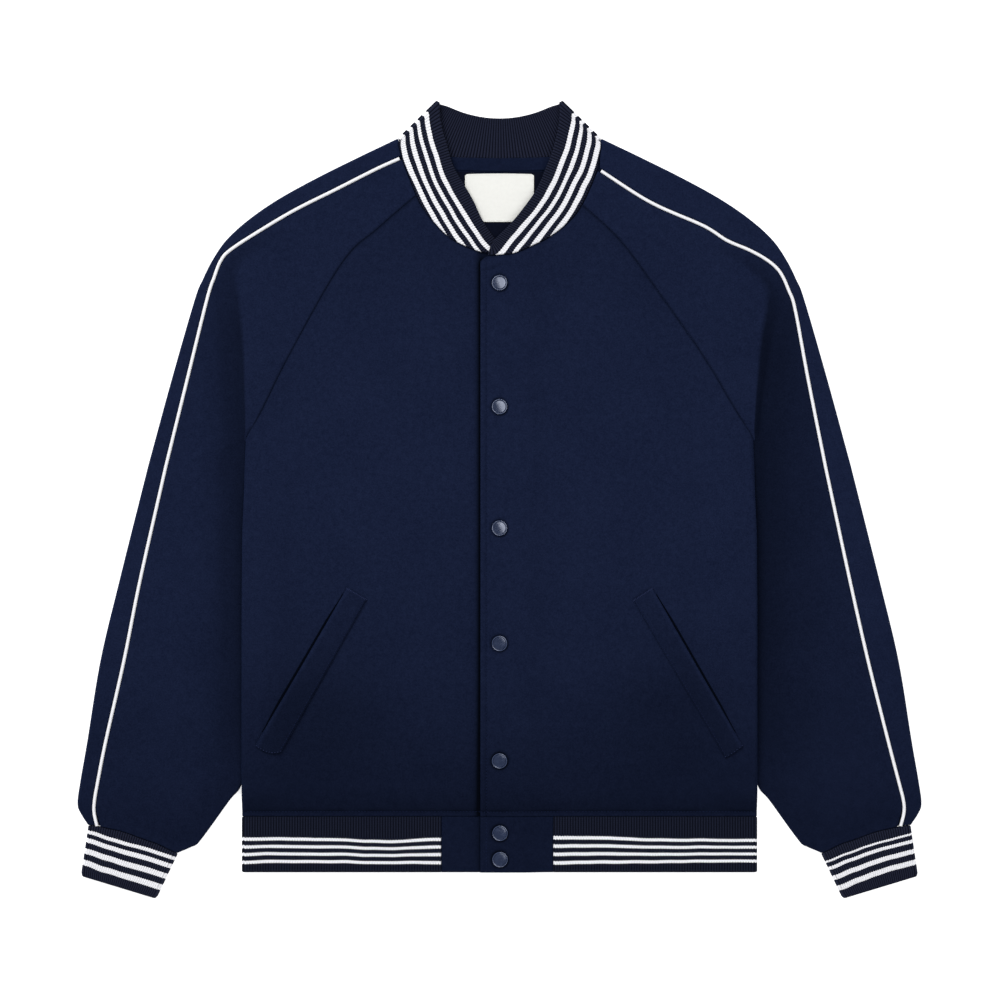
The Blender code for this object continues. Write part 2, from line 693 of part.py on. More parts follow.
def hem_rib():
    """One band from tab to tab: right front, right fold, back, left fold, left front."""
    radius = (RIB_FRONT_MID - RIB_BACK_MID) / 2
    centre = HALF_BODY - RIB_BAND / 2 - radius
    ends = (TAB_RIGHT_END - GAP, TAB_LEFT_END + GAP)
    quarter = math.pi * radius
    marks = np.cumsum([0, centre + ends[0], quarter, 2 * centre, quarter, centre - ends[1]])

    def place(u, v):
        y = mix(HEM_SEAM - GAP, HEM_END, v)
        if u < marks[1]:
            return ends[0] - u, y, RIB_FRONT_MID
        if u < marks[2]:
            turn = (u - marks[1]) / radius
            return -centre - radius * math.sin(turn), y, RIB_BACK_MID + radius * (1 + math.cos(turn))
        if u < marks[3]:
            return u - marks[2] - centre, y, RIB_BACK_MID
        if u < marks[4]:
            turn = (u - marks[3]) / radius
            return centre + radius * math.sin(turn), y, RIB_BACK_MID + radius * (1 - math.cos(turn))
        return centre - (u - marks[4]), y, RIB_FRONT_MID

    turns = [spread(marks[i], BAND_TURN_STEPS, marks[i + 1]) for i in (1, 3)]
    outer = (ribbed(0, marks[1]) + plain(turns[0][1:]) + plain(turns[1]) + ribbed(marks[4], marks[5])[1:])
    inner = plain([0.0] + turns[0] + turns[1] + [marks[5]])
    surface = Surface(place, (0, marks[5]))
    return sheet_solid("hem_rib", "rib", surface, BAND_ROWS, outer, inner, RIB_BAND)


def cuff(side):
    """A flattened tube, narrower at its folded end."""
    seam = np.array(CUFF_SEAM_INNER), np.array(CUFF_SEAM_OUTER)
    end = np.array(CUFF_END_INNER), np.array(CUFF_END_OUTER)
    radius = (RIB_FRONT_MID - RIB_BACK_MID) / 2

    def place(u, v):
        inner, outer = mix(seam[0], end[0], v), mix(seam[1], end[1], v)
        across = unit(outer - inner)
        low, high = inner + (radius + RIB_BAND / 2) * across, outer - (radius + RIB_BAND / 2) * across
        quarter = int(u)
        part = u - quarter
        if quarter == 0:
            plan, z = mix(low, high, part), RIB_FRONT_MID
        elif quarter == 1:
            plan = high + radius * math.sin(math.pi * part) * across
            z = RIB_BACK_MID + radius * (1 + math.cos(math.pi * part))
        elif quarter == 2:
            plan, z = mix(high, low, part), RIB_BACK_MID
        else:
            plan = low - radius * math.sin(math.pi * part) * across
            z = RIB_BACK_MID + radius * (1 - math.cos(math.pi * part))
        return side * plan[0], plan[1], z

    width = np.linalg.norm(seam[1] - seam[0])
    top = ribbed(0, 1, RIB_PITCH / width)
    rest = plain(spread(1, 4, 2, 1, 3, 4, 4)[1:])
    faces = (top + rest, plain([0, 0.5, 1]) + rest)
    surface = Surface(place, (0, 4 - 1e-9))
    name = "cuff_left" if side > 0 else "cuff_right"
    upper, under = faces if side < 0 else faces[::-1]
    return sheet_solid(name, "rib", surface, BAND_ROWS, upper, under, RIB_BAND, loop=True)


# Small pieces


def hem_tab(side):
    """The self-fabric end of the hem band under each front edge."""
    start, end = (LEFT_FRONT_EDGE, TAB_LEFT_END) if side > 0 else (TAB_RIGHT_END, RIGHT_FRONT_EDGE)

    def place(u, v):
        x = mix(start, end, u)
        return x, mix(HEM_END, HEM_SEAM - GAP, v), front_height(x, HEM_SEAM, lapped=side > 0)

    name = "hem_tab_left" if side > 0 else "hem_tab_right"
    rows = [(0, EDGE_SHARE), (0.05, 1.0), (0.5, 1.0), (1, 1.0)]
    return sheet_solid(name, "wool", Surface(place), rows, plain(spread(0, 1, 0.05, 7, 1)))


def pocket_welt(side):
    """A slanted welt lying on the front panel, made from the panel's own heights."""
    top_outer, top_inner, foot_outer, foot_inner = (np.array(corner) for corner in WELT[side])
    lift = CLOTH / 2 + 2 * GAP + WELT_THICKNESS / 2

    def place(u, v):
        plan = mix(mix(foot_inner, foot_outer, u), mix(top_inner, top_outer, u), v)
        return side * plan[0], plan[1], front_height(plan[0], plan[1]) + lift

    rows = [(0, EDGE_SHARE), (0.02, 1.0)] + [(v, 1.0) for v in spread(0.1, 6, 0.98)] + [(1, EDGE_SHARE)]
    across = plain((0, 0.06, 0.5, 0.94, 1))
    name = "pocket_welt_left" if side > 0 else "pocket_welt_right"
    return sheet_solid(name, "wool", Surface(place), rows, across, thickness=WELT_THICKNESS)


def neck_inside():
    """The facing strip under the collar seam, the lining below it, and the label on both."""
    neck = Line(BACK_NECK)
    low = CLOTH + GAP + FACING_THICKNESS / 2

    def facing(u, v):
        out = u * FACING_HALF
        return out, neck.y_at(abs(out)) - GAP - FACING_DEPTH * (1 - v), low

    def lining(u, v):
        out = u * mix(LINING_FOOT_HALF, LINING_HALF, v)
        top = neck.y_at(abs(u) * LINING_HALF) - FACING_DEPTH - 2 * GAP
        return out, mix(LINING_FOOT, top, v), low

    def label(u, v):
        return u * LABEL_HALF, mix(LABEL_FOOT, LABEL_TOP, v), low + (FACING_THICKNESS + LABEL_THICKNESS) / 2 + GAP

    across = plain(spread(-1, 10, 1))
    sheet_solid("back_neck_facing", "wool", Surface(facing, (-1, 1)), even(1), across, thickness=FACING_THICKNESS)
    sheet_solid("back_lining", "lining", Surface(lining, (-1, 1)), even(3), across, thickness=FACING_THICKNESS)
    across = plain(spread(-1, 4, 1))
    sheet_solid("neck_label", "label", Surface(label, (-1, 1)), even(2), across, thickness=LABEL_THICKNESS)


def snap_cap(number, y):
    """A turned cap: an upright side, a rolled rim and a low dome."""
    mesh = bmesh.new()
    points = [mesh.verts.new((radius * MM, 0, height * MM)) for radius, height in SNAP_PROFILE]
    edges = [mesh.edges.new(pair) for pair in zip(points, points[1:])]
    bmesh.ops.spin(mesh, geom=points + edges, cent=(0, 0, 0), axis=(0, 0, 1), angle=math.tau, steps=16)
    bmesh.ops.remove_doubles(mesh, verts=mesh.verts, dist=1e-6)
    bmesh.ops.recalc_face_normals(mesh, faces=mesh.faces)
    data = bpy.data.meshes.new(f"snap_cap_{number}")
    mesh.to_mesh(data)
    mesh.free()
    data.shade_smooth()
    data.set_sharp_from_angle(angle=math.radians(40))
    obj = add_object(data.name, data, "snap")
    top = front_height(0, min(y, SNAP_HEIGHTS[0]) if y > HEM_SEAM else HEM_SEAM, lapped=True) + CLOTH / 2
    obj.matrix_world = Matrix.Translation((SNAP_OUT.get(y, 0) * MM, y * MM, (top + GAP) * MM))
    return obj


def main():
    clear_scene()
    back_panel()
    for side in (1, -1):
        front_panel(side)
        Sleeve(side).build()
        cuff(side)
        hem_tab(side)
        pocket_welt(side)
    hem_rib()
    collar()
    neck_inside()
    for number, y in enumerate(SNAP_HEIGHTS, start=1):
        snap_cap(number, y)


main()
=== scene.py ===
"""A navy varsity jacket laid flat on its back: wool body and raglan sleeves, white piping, striped rib knit.

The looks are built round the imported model. Sizes are in millimetres in the model's own frame, where the
jacket rests on z = 0, its collar points to +Y and the wearer's left is at +X, and a mesh is turned to
metres where it is made. Each cloth piece is a closed wall round a grid of middle points, with fine rows on
its shown face and coarse ones on its hidden face.

Plan tables hold half of the jacket: out is the distance from the centre line, towards either side.
"""

from __future__ import annotations

import logging
import math
from collections.abc import Callable, Sequence
from dataclasses import dataclass
from enum import Enum
from functools import partial

import bpy
import numpy as np
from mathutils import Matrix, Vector
from mathutils.bvhtree import BVHTree
from mathutils.kdtree import KDTree

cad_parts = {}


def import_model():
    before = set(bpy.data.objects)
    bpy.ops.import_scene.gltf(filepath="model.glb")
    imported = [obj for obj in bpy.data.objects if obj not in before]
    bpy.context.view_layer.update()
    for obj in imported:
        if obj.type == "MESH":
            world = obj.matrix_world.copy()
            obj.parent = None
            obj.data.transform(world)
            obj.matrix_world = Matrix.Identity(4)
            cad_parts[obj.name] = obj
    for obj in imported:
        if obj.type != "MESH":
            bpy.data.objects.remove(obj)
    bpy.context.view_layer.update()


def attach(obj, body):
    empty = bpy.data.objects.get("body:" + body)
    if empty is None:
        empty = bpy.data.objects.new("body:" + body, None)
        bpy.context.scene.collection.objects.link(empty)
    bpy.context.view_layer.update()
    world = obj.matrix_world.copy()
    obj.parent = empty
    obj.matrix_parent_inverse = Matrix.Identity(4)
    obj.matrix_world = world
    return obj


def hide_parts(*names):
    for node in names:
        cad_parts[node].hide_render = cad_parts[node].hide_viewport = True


Array = np.ndarray
Object = bpy.types.Object
Material = bpy.types.Material
Tree = bpy.types.NodeTree
Node = bpy.types.Node
Socket = bpy.types.NodeSocket

LOG = logging.getLogger("varsity_jacket")
MM = 0.001
BODY = "root"

# Walls, the gaps between pieces, and the heights of the middle surfaces
GAP = 0.3
NECK_GAP = 0.65
CLOTH = 2.4
RIB_BAND = 2.6
BACK_MID = CLOTH / 2
FRONT_MID = 5.6
RIB_BACK_MID = RIB_BAND / 2
RIB_FRONT_MID = 5.6
TUCKED_MID = 4.5
OVERLAP_RISE = 3.0
TURN = math.radians(86)
RIB_PITCH = 2.6
RIB_DEPTH = 0.36
PIPING_RADIUS = 1.6
PIPING_PROUD = 0.9
# A cut edge rounds off over this distance, with closer rows at these distances from it
EDGE_ROUND = 1.4
EDGE_RING = (0.3, 0.75, 1.4)
SEAM_ROUND = 0.5
# How much painted shade lies right at a seam, and how far from it
SEAM_SHADE = 0.5
SEAM_REACH = 1.3
BORDER_STEP = 0.25

# Body plan
HEM_SEAM = -309.9
HEM_END = -364.6
HALF_BODY = 252.0
FRONT_EDGE = {-1: -19.0, 1: -18.6}
UNDERARM = 57.3
SIDE_EDGE = ((-120, 252.0), (-50, 251.6), (27, 249.5), (57, 248.5))
FRONT_RISE = ((-307, 0.0), (-284, 6.2), (-25, 6.2), (47, 3.2), (100, 2.8), (160, 1.6), (240, 0.0))
BACK_RISE = ((-307, 0.0), (-284, 6.2), (-25, 6.2), (50, 0.0))
RISE_FROM, RISE_TO = 190, 235
OVERLAP_FLAT, OVERLAP_EASED = 21, 48
BLOUSE = 1.4
BLOUSE_RISE, BLOUSE_FULL, BLOUSE_FALL = 14, 18, 44
TAB_ENDS = {-1: (-56.7, 19.0), 1: (-18.6, 52.4)}
HEM_STITCH = -305.3
PLACKET_STITCH = 5.7
SNAP_RADIUS = 7.5
SNAP_DENT = 0.35
DENT_REACH = 3.4
SNAP_HEIGHTS = (211.7, 90.7, -27.9, -140.6, -255.3, -325.9, -351.6)

# Collar sections from the side fold to the front end: top edge, neck seam, and their heights
COLLAR = {
    -1: (
        # top out, top y, top z, seam out, seam y, seam z, how far the stripes lie down, and their spacing
        (58.3, 379.0, 7.4, 98.7, 349.5, 6.5, 2.2, 1.09),
        (56.0, 363.0, 8.2, 97.6, 343.0, 6.3, 0.1, 1.06),
        (51.1, 346.5, 8.8, 94.0, 330.5, 6.0, 0.1, 1.05),
        (45.1, 326.3, 9.2, 87.0, 312.5, 5.8, -1.2, 1.0),
        (34.8, 308.0, 9.2, 77.0, 289.0, 5.7, 0.8, 0.95),
        (25.7, 292.2, 8.9, 64.5, 272.0, 5.7, 0.3, 0.95),
        (16.6, 273.1, 8.0, 47.5, 255.5, 5.7, -2.1, 1.0),
        (4.6, 255.8, 5.7, 22.0, 243.4, 5.4, -3.0, 1.0),
        (-7.0, 246.8, 5.3, 2.0, 240.6, 5.3, -3.0, 1.0),
        (-19.0, 240.6, 5.3, -19.0, 237.9, 5.3, -3.0, 1.0),
    ),
    1: (
        (58.8, 379.0, 7.4, 99.8, 348.5, 6.5, 4.0, 1.05),
        (57.2, 363.0, 8.2, 98.5, 340.5, 6.3, 1.2, 1.06),
        (52.4, 342.5, 8.8, 95.5, 324.0, 6.0, -0.2, 1.06),
        (44.9, 323.3, 9.3, 88.5, 305.0, 5.8, -0.7, 1.06),
        (36.5, 303.8, 9.6, 77.5, 283.5, 5.7, -2.0, 1.04),
        (25.0, 287.0, 9.9, 64.0, 268.5, 5.9, -1.6, 1.06),
        (11.9, 270.8, 9.9, 46.0, 255.5, 6.3, -1.4, 1.12),
        (-3.1, 255.8, 9.4, 18.0, 242.2, 8.7, 1.0, 1.1),
        (-6.2, 251.7, 9.2, 3.5, 239.6, 8.7, 1.0, 1.1),
        (-8.6, 248.2, 9.0, -11.4, 238.6, 8.7, 1.0, 1.1),
    ),
}
COLLAR_PEAK = (61.3, 390.5)
COLLAR_SIDE = (99.6, 353.3)
BACK_NECK = ((0, 333.1), (50, 334.6), (72, 338.4), (88, 345.0), COLLAR_SIDE)

# How far the cuff's seam bows up, at shares of its width from the underarm
CUFF_BOW = ((0.0, 0.3), (0.29, 3.9), (0.64, 5.9), (0.88, 4.9), (1.0, 3.4))

# Sleeve lines, from the neck to underarm level and from there to the cuff
OUTER_FOLD = (
    (COLLAR_SIDE, (142.6, 332.7), (181.8, 313.1), (217.1, 293.5), (245.5, 273.9), (267.1, 254.3),
     (280.8, 234.7), (290.6, 215.1), (298.4, 195.5), (321.0, 117.1), (343.9, 33.0)),
    ((343.9, 33.0), (371.9, -78.9), (390.5, -157.3), (403.3, -235.7), (410.1, -274.9), (413.3, -299.0),
     (410.1, -310.0), (403.3, -321.6)),
)
UNDERARM_FOLD = ((247.4, 57.8), (247.2, 40.0), (246.6, 15.0), (245.6, -20.0), (242.5, -60.0), (238.5, -110.0),
                 (238.0, -190.0), (243.0, -245.0), (252.6, -279.8), (264.1, -294.5), (292.5, -333.7),
                 (300.0, -339.5), (315.1, -346.1))
ARM_FOLD = {
    -1: ((90.0, 318.0), (150.0, 284.0), (215.0, 259.0), (250.0, 240.0), (260.5, 220.0),
         (257.0, 195.0), (252.6, 156.9), (250.2, 113.8), (248.8, 75.0), (248.7, 58.6)),
    1: ((90.0, 309.0), (150.0, 276.0), (205.0, 250.0), (243.0, 230.0), (263.0, 211.0),
        (264.0, 190.0), (257.5, 154.4), (252.4, 108.3), (249.6, 75.0), (248.7, 58.6)),
}
BACK_RAGLAN = ((72.0, 338.4), (112.0, 285.0), (165.0, 205.0), (215.0, 118.0), (242.8, 57.4))
RAGLAN = {
    -1: ((81.5, 297.0), (118.0, 265.5), (152.9, 232.4), (202.6, 146.2), (232.0, 87.0), (243.8, 66.0)),
    1: ((80.6, 288.0), (118.9, 251.9), (159.2, 197.2), (199.4, 139.7), (226.5, 94.0), (243.8, 66.0)),
}
PIPING = {
    -1: (((95.6, 334.4), (121.0, 322.9), (159.7, 303.3), (198.9, 283.7), (232.3, 264.1), (262.5, 244.5),
          (272.5, 233.5), (279.0, 217.0), (286.0, 195.5), (305.3, 117.1), (326.0, 33.0)),
         ((326.0, 33.0), (351.3, -78.9), (367.0, -157.3), (384.7, -235.7), (392.5, -274.9),
          (395.9, -294.5), (396.4, -306.3), (393.0, -323.0))),
    1: (((97.3, 322.6), (147.7, 290.6), (199.4, 267.6), (222.4, 253.3), (245.0, 243.5), (262.5, 233.5),
         (274.5, 222.0), (283.0, 204.0), (289.1, 185.5), (301.8, 117.1), (318.5, 33.0)),
        ((318.5, 33.0), (342.5, -78.9), (360.2, -157.3), (379.8, -235.7), (390.0, -274.9),
         (394.9, -294.5), (395.4, -306.3), (391.5, -323.0))),
}


class Side(Enum):
    """The wearer's side that a piece belongs to, with the sign of its X."""

    RIGHT = -1
    LEFT = 1

    @property
    def word(self) -> str:
        """The side's name as node names spell it."""
        return self.name.lower()


class Held(Enum):
    """How a cloth piece lies."""

    LAID = "laid"
    FOLDED = "folded"


# Numbers and lines


def mix(first: Array, second: Array, part: Array) -> Array:
    """Go a part of the way from the first value to the second."""
    return first + (second - first) * part


def smooth(value: Array, low: float | Array, high: float | Array) -> Array:
    """Ease from 0 at low to 1 at high."""
    part = np.clip((value - low) / (high - low), 0.0, 1.0)
    return part * part * (3 - 2 * part)


def hump(at: Array, reach: float, centre: float = 0.0) -> Array:
    """A soft hump, 1 at its centre and dying away over its reach to both sides."""
    return np.exp(-(((at - centre) / reach) ** 2))


def eased(table: tuple, at: Array) -> Array:
    """Read a table of (place, value) rows, eased between its rows.

    Args:
        table: The rows, by rising place.
        at: The places to read.

    Returns:
        The value at each place.
    """
    places, values = np.array(table, float).T
    row = np.clip(np.searchsorted(places, at) - 1, 0, len(places) - 2)
    return mix(values[row], values[row + 1], smooth(at, places[row], places[row + 1]))


def curve_through(points: Array, steps: int = 24) -> Array:
    """Draw a smooth curve through some points (a Catmull-Rom spline).

    Args:
        points: The points, of any number of columns.
        steps: The new points from one to the next.

    Returns:
        The curve's points.
    """
    points = np.asarray(points, float)
    ends = np.vstack([2 * points[0] - points[1], points, 2 * points[-1] - points[-2]])
    t = (np.arange(steps) / steps)[:, None]
    out = []
    for before, start, end, after in zip(ends, ends[1:], ends[2:], ends[3:]):
        out.append(0.5 * (2 * start + (end - before) * t + (2 * before - 5 * start + 4 * end - after) * t**2
                          + (3 * start - before - 3 * end + after) * t**3))
    return np.vstack([*out, points[-1:]])


def runs(points: Array) -> Array:
    """The distance along a line of points at each of them."""
    return np.concatenate([[0], np.cumsum(np.linalg.norm(np.diff(points, axis=0), axis=1))])


def marks(stops: tuple[float, ...], step: float, ring: tuple[float, ...] = EDGE_RING,
          scale: float = 1.0) -> Array:
    """Places from the first stop to the last, evenly spaced between stops and closer at both ends.

    Args:
        stops: Places that are kept, in rising order.
        step: The widest spacing.
        ring: Distances of the closer places from each end.
        scale: How much one millimetre is in the places' own unit.

    Returns:
        The rising places.
    """
    inner = [low + (high - low) * i / count for low, high in zip(stops, stops[1:])
             for count in [max(1, math.ceil((high - low) / step))] for i in range(count)]
    clear = ring[-1] * scale + step / 3
    inner = [place for place in inner if stops[0] + clear < place < stops[-1] - clear]
    near = [distance * scale for distance in ring]
    first, last = [stops[0] + d for d in near], [stops[-1] - d for d in near[::-1]]
    return np.array([stops[0], *first, *inner, *last, stops[-1]])


def shares_of(length: float, step: float) -> Array:
    """Shares of a length, from 0 to 1, with both ends' closer places and the step in millimetres."""
    return marks((0.0, 1.0), step / length, scale=1 / length)


def refined(places: Array, more: Array, apart: float) -> Array:
    """Put more places among rising ones.

    Args:
        places: The rising places.
        more: Those to put in, where they lie inside the range.
        apart: How far a new one keeps from all the others.

    Returns:
        All the rising places.
    """
    more = more[(more > places[0]) & (more < places[-1])]
    clear = [place for place in more if np.abs(places - place).min() > apart]
    return np.sort(np.concatenate([places, clear]))


def uneven(place: Array, pitch: float, start: float = 0.0) -> Array:
    """Waves of about one pitch whose width and height wander.

    Args:
        place: Where to read them.
        pitch: About how long a wave is.
        start: A number that makes one set of waves unlike another.

    Returns:
        The height at each place, from -1 to 1.
    """
    turn = math.tau * place / pitch
    wander = 1.1 * np.sin(turn / 4.3 + start) + 0.7 * np.sin(turn / 2.7 + 2.1 * start)
    return (0.62 * np.sin(turn + wander) + 0.38 * np.sin(turn / 1.7 + 3.3 * start)) * (
        0.75 + 0.25 * np.sin(turn / 6.1 + 1.7 * start))


class PlanLine:
    """A smooth line in plan, read by the share of its length or by either coordinate."""

    def __init__(self, points: Array, dense: bool = False) -> None:
        """Keep the line's points.

        Args:
            points: The points in plan.
            dense: Set where they already lie close together.
        """
        self.points = np.asarray(points, float) if dense else curve_through(points)
        length = runs(self.points)
        self.length = length[-1]
        self.run = length / self.length

    def at(self, share: Array) -> Array:
        """The point at each share of the length."""
        return np.stack([np.interp(share, self.run, axis) for axis in self.points.T], axis=-1)

    def outward(self, share: Array) -> Array:
        """The unit normal on the line's left-hand side.

        Args:
            share: Shares of the length.

        Returns:
            The normal at each.
        """
        share = np.clip(share, 0, 1)
        way = self.at(np.minimum(share + 0.01, 1)) - self.at(np.maximum(share - 0.01, 0))
        way /= np.linalg.norm(way, axis=-1, keepdims=True)
        return np.stack([-way[..., 1], way[..., 0]], axis=-1)

    def shifted(self, distance: float) -> PlanLine:
        """Move the line to its left-hand side.

        Args:
            distance: How far.

        Returns:
            The moved line.
        """
        way = np.gradient(self.points, axis=0)
        way /= np.linalg.norm(way, axis=1, keepdims=True)
        return PlanLine(self.points + distance * np.column_stack([-way[:, 1], way[:, 0]]), dense=True)

    def y_at(self, out: Array) -> Array:
        """How far up the line lies at each distance out."""
        order = np.argsort(self.points[:, 0])
        return np.interp(out, self.points[order, 0], self.points[order, 1])

    def out_at(self, y: Array) -> Array:
        """How far out the line lies at each height in plan."""
        order = np.argsort(self.points[:, 1])
        return np.interp(y, self.points[order, 1], self.points[order, 0])


@dataclass(frozen=True)
class Crease:
    """One soft ridge (or trough, where high is negative) between two points in plan."""

    start: tuple[float, float]
    end: tuple[float, float]
    wide: float
    high: float
    bow: float = 0.0

    def relief(self, x: Array, y: Array) -> Array:
        """How far the crease lifts the cloth.

        Args:
            x: Places across the garment.
            y: Places up the garment.

        Returns:
            The lift at each.
        """
        start, end = np.array(self.start), np.array(self.end)
        way = end - start
        length = np.linalg.norm(way)
        way = way / length
        along = (x - start[0]) * way[0] + (y - start[1]) * way[1]
        share = np.clip(along / length, 0, 1)
        aside = (y - start[1]) * way[0] - (x - start[0]) * way[1] - self.bow * 4 * share * (1 - share)
        beyond = along - share * length
        # It dies away towards both ends, where it is narrower too
        taper = np.sin(math.pi * (0.08 + 0.84 * share)) ** 0.8
        width = self.wide * (0.7 + 0.5 * taper)
        return self.high * taper * np.exp(-((aside**2 + beyond**2) / width**2))


def creased(creases: tuple[Crease, ...], x: Array, y: Array) -> Array:
    """The sum of a piece's creases at each point."""
    return sum((crease.relief(x, y) for crease in creases), np.zeros(np.broadcast(x, y).shape))


# Heights of the layers


def overlap_rise(x: Array) -> Array:
    """How far the left front rises to lie on the right one."""
    return OVERLAP_RISE * (1 - smooth(x, OVERLAP_FLAT, OVERLAP_EASED))


def front_height(x: Array, y: Array, lapped: bool = False) -> Array:
    """The middle of the front layer, from its body to the arm fold.

    Args:
        x: Places out from the centre line.
        y: Places up the garment.
        lapped: Set for the left front, which rises over the right one.

    Returns:
        The height at each.
    """
    rise = eased(FRONT_RISE, y) * smooth(np.abs(x), RISE_FROM, RISE_TO)
    above = y - HEM_SEAM
    blouse = BLOUSE * smooth(above, 0, BLOUSE_RISE) * (1 - smooth(above, BLOUSE_FULL, BLOUSE_FALL))
    return FRONT_MID + rise + blouse + (overlap_rise(x) if lapped else 0.0)


def back_height(x: Array, y: Array) -> Array:
    """The middle of the back layer, which rises at both sides to lie on the sleeves."""
    return BACK_MID + eased(BACK_RISE, y) * smooth(np.abs(x), RISE_FROM, RISE_TO)


def snap_press(x: Array, y: Array) -> Array:
    """How far the nearest snap presses the cloth down, from 0 clear of it to 1 below its cap."""
    reach = SNAP_RADIUS + DENT_REACH
    return sum(smooth(np.hypot(x, y - height), reach, SNAP_RADIUS) for height in SNAP_HEIGHTS)


def side_radius(y: Array) -> Array:
    """The radius of each quarter turn at the side seam."""
    return (front_height(HALF_BODY, y) - back_height(HALF_BODY, y)) / 2


def side_centre(y: Array) -> Array:
    """Where the side turns start, out from the centre line."""
    y = np.minimum(y, UNDERARM)
    return eased(SIDE_EDGE, y) - CLOTH / 2 - side_radius(y)


def cuff_bow(share: Array) -> Array:
    """How far the cuff's seam bows up towards the sleeve, from the underarm to the outer fold."""
    return np.maximum(eased(CUFF_BOW, share), 0)


def neck_seam(side: int) -> PlanLine:
    """The front neck seam of a side, from its front end to the shoulder."""
    return PlanLine([row[3:5] for row in reversed(COLLAR[side])] + [COLLAR_SIDE])


# Node trees and finishes


def linear(hex_colour: str) -> tuple[float, float, float, float]:
    """Turn sRGB hex digits to linear red, green, blue and alpha."""
    parts = [int(hex_colour[i : i + 2], 16) / 255 for i in (0, 2, 4)]
    return (*(c / 12.92 if c <= 0.04045 else ((c + 0.055) / 1.055) ** 2.4 for c in parts), 1.0)


def add_node(tree: Tree, kind: str, settings: dict | None = None,
             inputs: dict | None = None) -> Node:
    """Add one node.

    Args:
        tree: The tree that gets it.
        kind: The node's type name.
        settings: Its properties.
        inputs: A value, or a socket or a node's first output to link from, for each input named or numbered.

    Returns:
        The node.
    """
    node = tree.nodes.new(kind)
    for name, value in (settings or {}).items():
        setattr(node, name, value)
    for key, value in (inputs or {}).items():
        value = value.outputs[0] if isinstance(value, Node) else value
        if isinstance(value, Socket):
            tree.links.new(value, node.inputs[key])
        else:
            node.inputs[key].default_value = value
    return node


@dataclass(frozen=True)
class Finish:
    """What every finish has: a Principled shader with its own colour, roughness and sheen."""

    name: str
    slot: str
    colour: str
    roughness: float
    sheen: float = 0.0
    sheen_tint: str = "FFFFFF"
    gloss: float = 0.5

    def start(self) -> tuple[Material, Tree, Node]:
        """Make the material and set what is the same all over it.

        Returns:
            The material, its node tree and its shader.
        """
        material = bpy.data.materials.new(self.name)
        material.use_nodes = True
        tree = material.node_tree
        shader = tree.nodes["Principled BSDF"]
        shader.inputs["Base Color"].default_value = linear(self.colour)
        shader.inputs["Roughness"].default_value = self.roughness
        shader.inputs["Specular IOR Level"].default_value = self.gloss
        shader.inputs["Sheen Weight"].default_value = self.sheen
        shader.inputs["Sheen Roughness"].default_value = 0.5
        shader.inputs["Sheen Tint"].default_value = linear(self.sheen_tint)
        return material, tree, shader

    def clumps(self, tree: Tree, size: float, detail: float = 2.0,
               stretch: tuple[float, float, float] = (1, 1, 1)) -> Socket:
        """Draw an uneven pattern of soft clumps.

        Args:
            tree: The material's tree.
            size: About how many mm a clump is across.
            detail: How many finer patterns lie on it.
            stretch: Below 1 along an axis, it draws the clumps out that way.

        Returns:
            The pattern, from 0 to 1.
        """
        place = add_node(tree, "ShaderNodeTexCoord").outputs["Object"]
        mapped = add_node(tree, "ShaderNodeMapping", inputs={"Vector": place, "Scale": stretch})
        return add_node(tree, "ShaderNodeTexNoise",
                        inputs={"Vector": mapped, "Scale": 1 / (size * MM), "Detail": detail}).outputs[0]

    def cover(self, tree: Tree, shader: Node, colour: Socket,
              height: Socket | Node, depth: float) -> None:
        """Give the shader its colour and its relief.

        Args:
            tree: The material's tree.
            shader: Its shader.
            colour: The colour all over.
            height: The relief's height, from 0 to 1.
            depth: What a height of 1 is, in mm.
        """
        relief = add_node(tree, "ShaderNodeBump", inputs={"Distance": depth * MM, "Height": height})
        tree.links.new(colour, shader.inputs["Base Color"])
        tree.links.new(relief.outputs[0], shader.inputs["Normal"])


@dataclass(frozen=True)
class WoolMelton(Finish):
    """Milled and brushed wool melton: matt, with a felted nap that hides the weave and a faint mottling.

    nap, felt and mottle are the clumps' sizes in mm. Real fibres are far finer, so nap is as coarse as it
    needs to be to show.
    """

    pale: str = "22304E"
    # flat is the near-black colour of full painted shade
    flat: str = "03050B"
    nap: float = 1.5
    felt: float = 6.0
    mottle: float = 60.0

    def material(self) -> Material:
        """Mottle the colour in three sizes, darken it by painted shade and raise the nap.

        Returns:
            The material.
        """
        material, tree, shader = self.start()
        add = partial(add_node, tree)
        calc = partial(add_node, tree, "ShaderNodeMath")
        blend = partial(add_node, tree, "ShaderNodeMix", {"data_type": "RGBA"})
        nap = self.clumps(tree, self.nap, 3.0)
        felt = self.clumps(tree, self.felt, 3.0)
        mottle = self.clumps(tree, self.mottle, 1.0)
        broad = calc({"operation": "MULTIPLY"}, {0: mottle, 1: 0.15})
        medium = calc({"operation": "MULTIPLY_ADD"}, {0: felt, 1: 0.3, 2: broad})
        clouds = calc({"operation": "MULTIPLY_ADD"}, {0: nap, 1: 0.6, 2: medium})
        share = add("ShaderNodeMapRange", inputs={0: clouds, 1: 0.22, 2: 0.82})
        colour = blend({0: share, 6: linear(self.colour), 7: linear(self.pale)}).outputs[2]
        # Painted shade: the pressed attribute darkens the colour to flat by folds, edges, seams and the hem
        pressed = add("ShaderNodeAttribute", {"attribute_name": "pressed"}).outputs["Fac"]
        colour = blend({0: pressed, 6: colour, 7: linear(self.flat)}).outputs[2]
        height = calc({"operation": "MULTIPLY_ADD"}, {0: felt, 1: 0.6, 2: nap})
        self.cover(tree, shader, colour, height, 0.25)
        return material


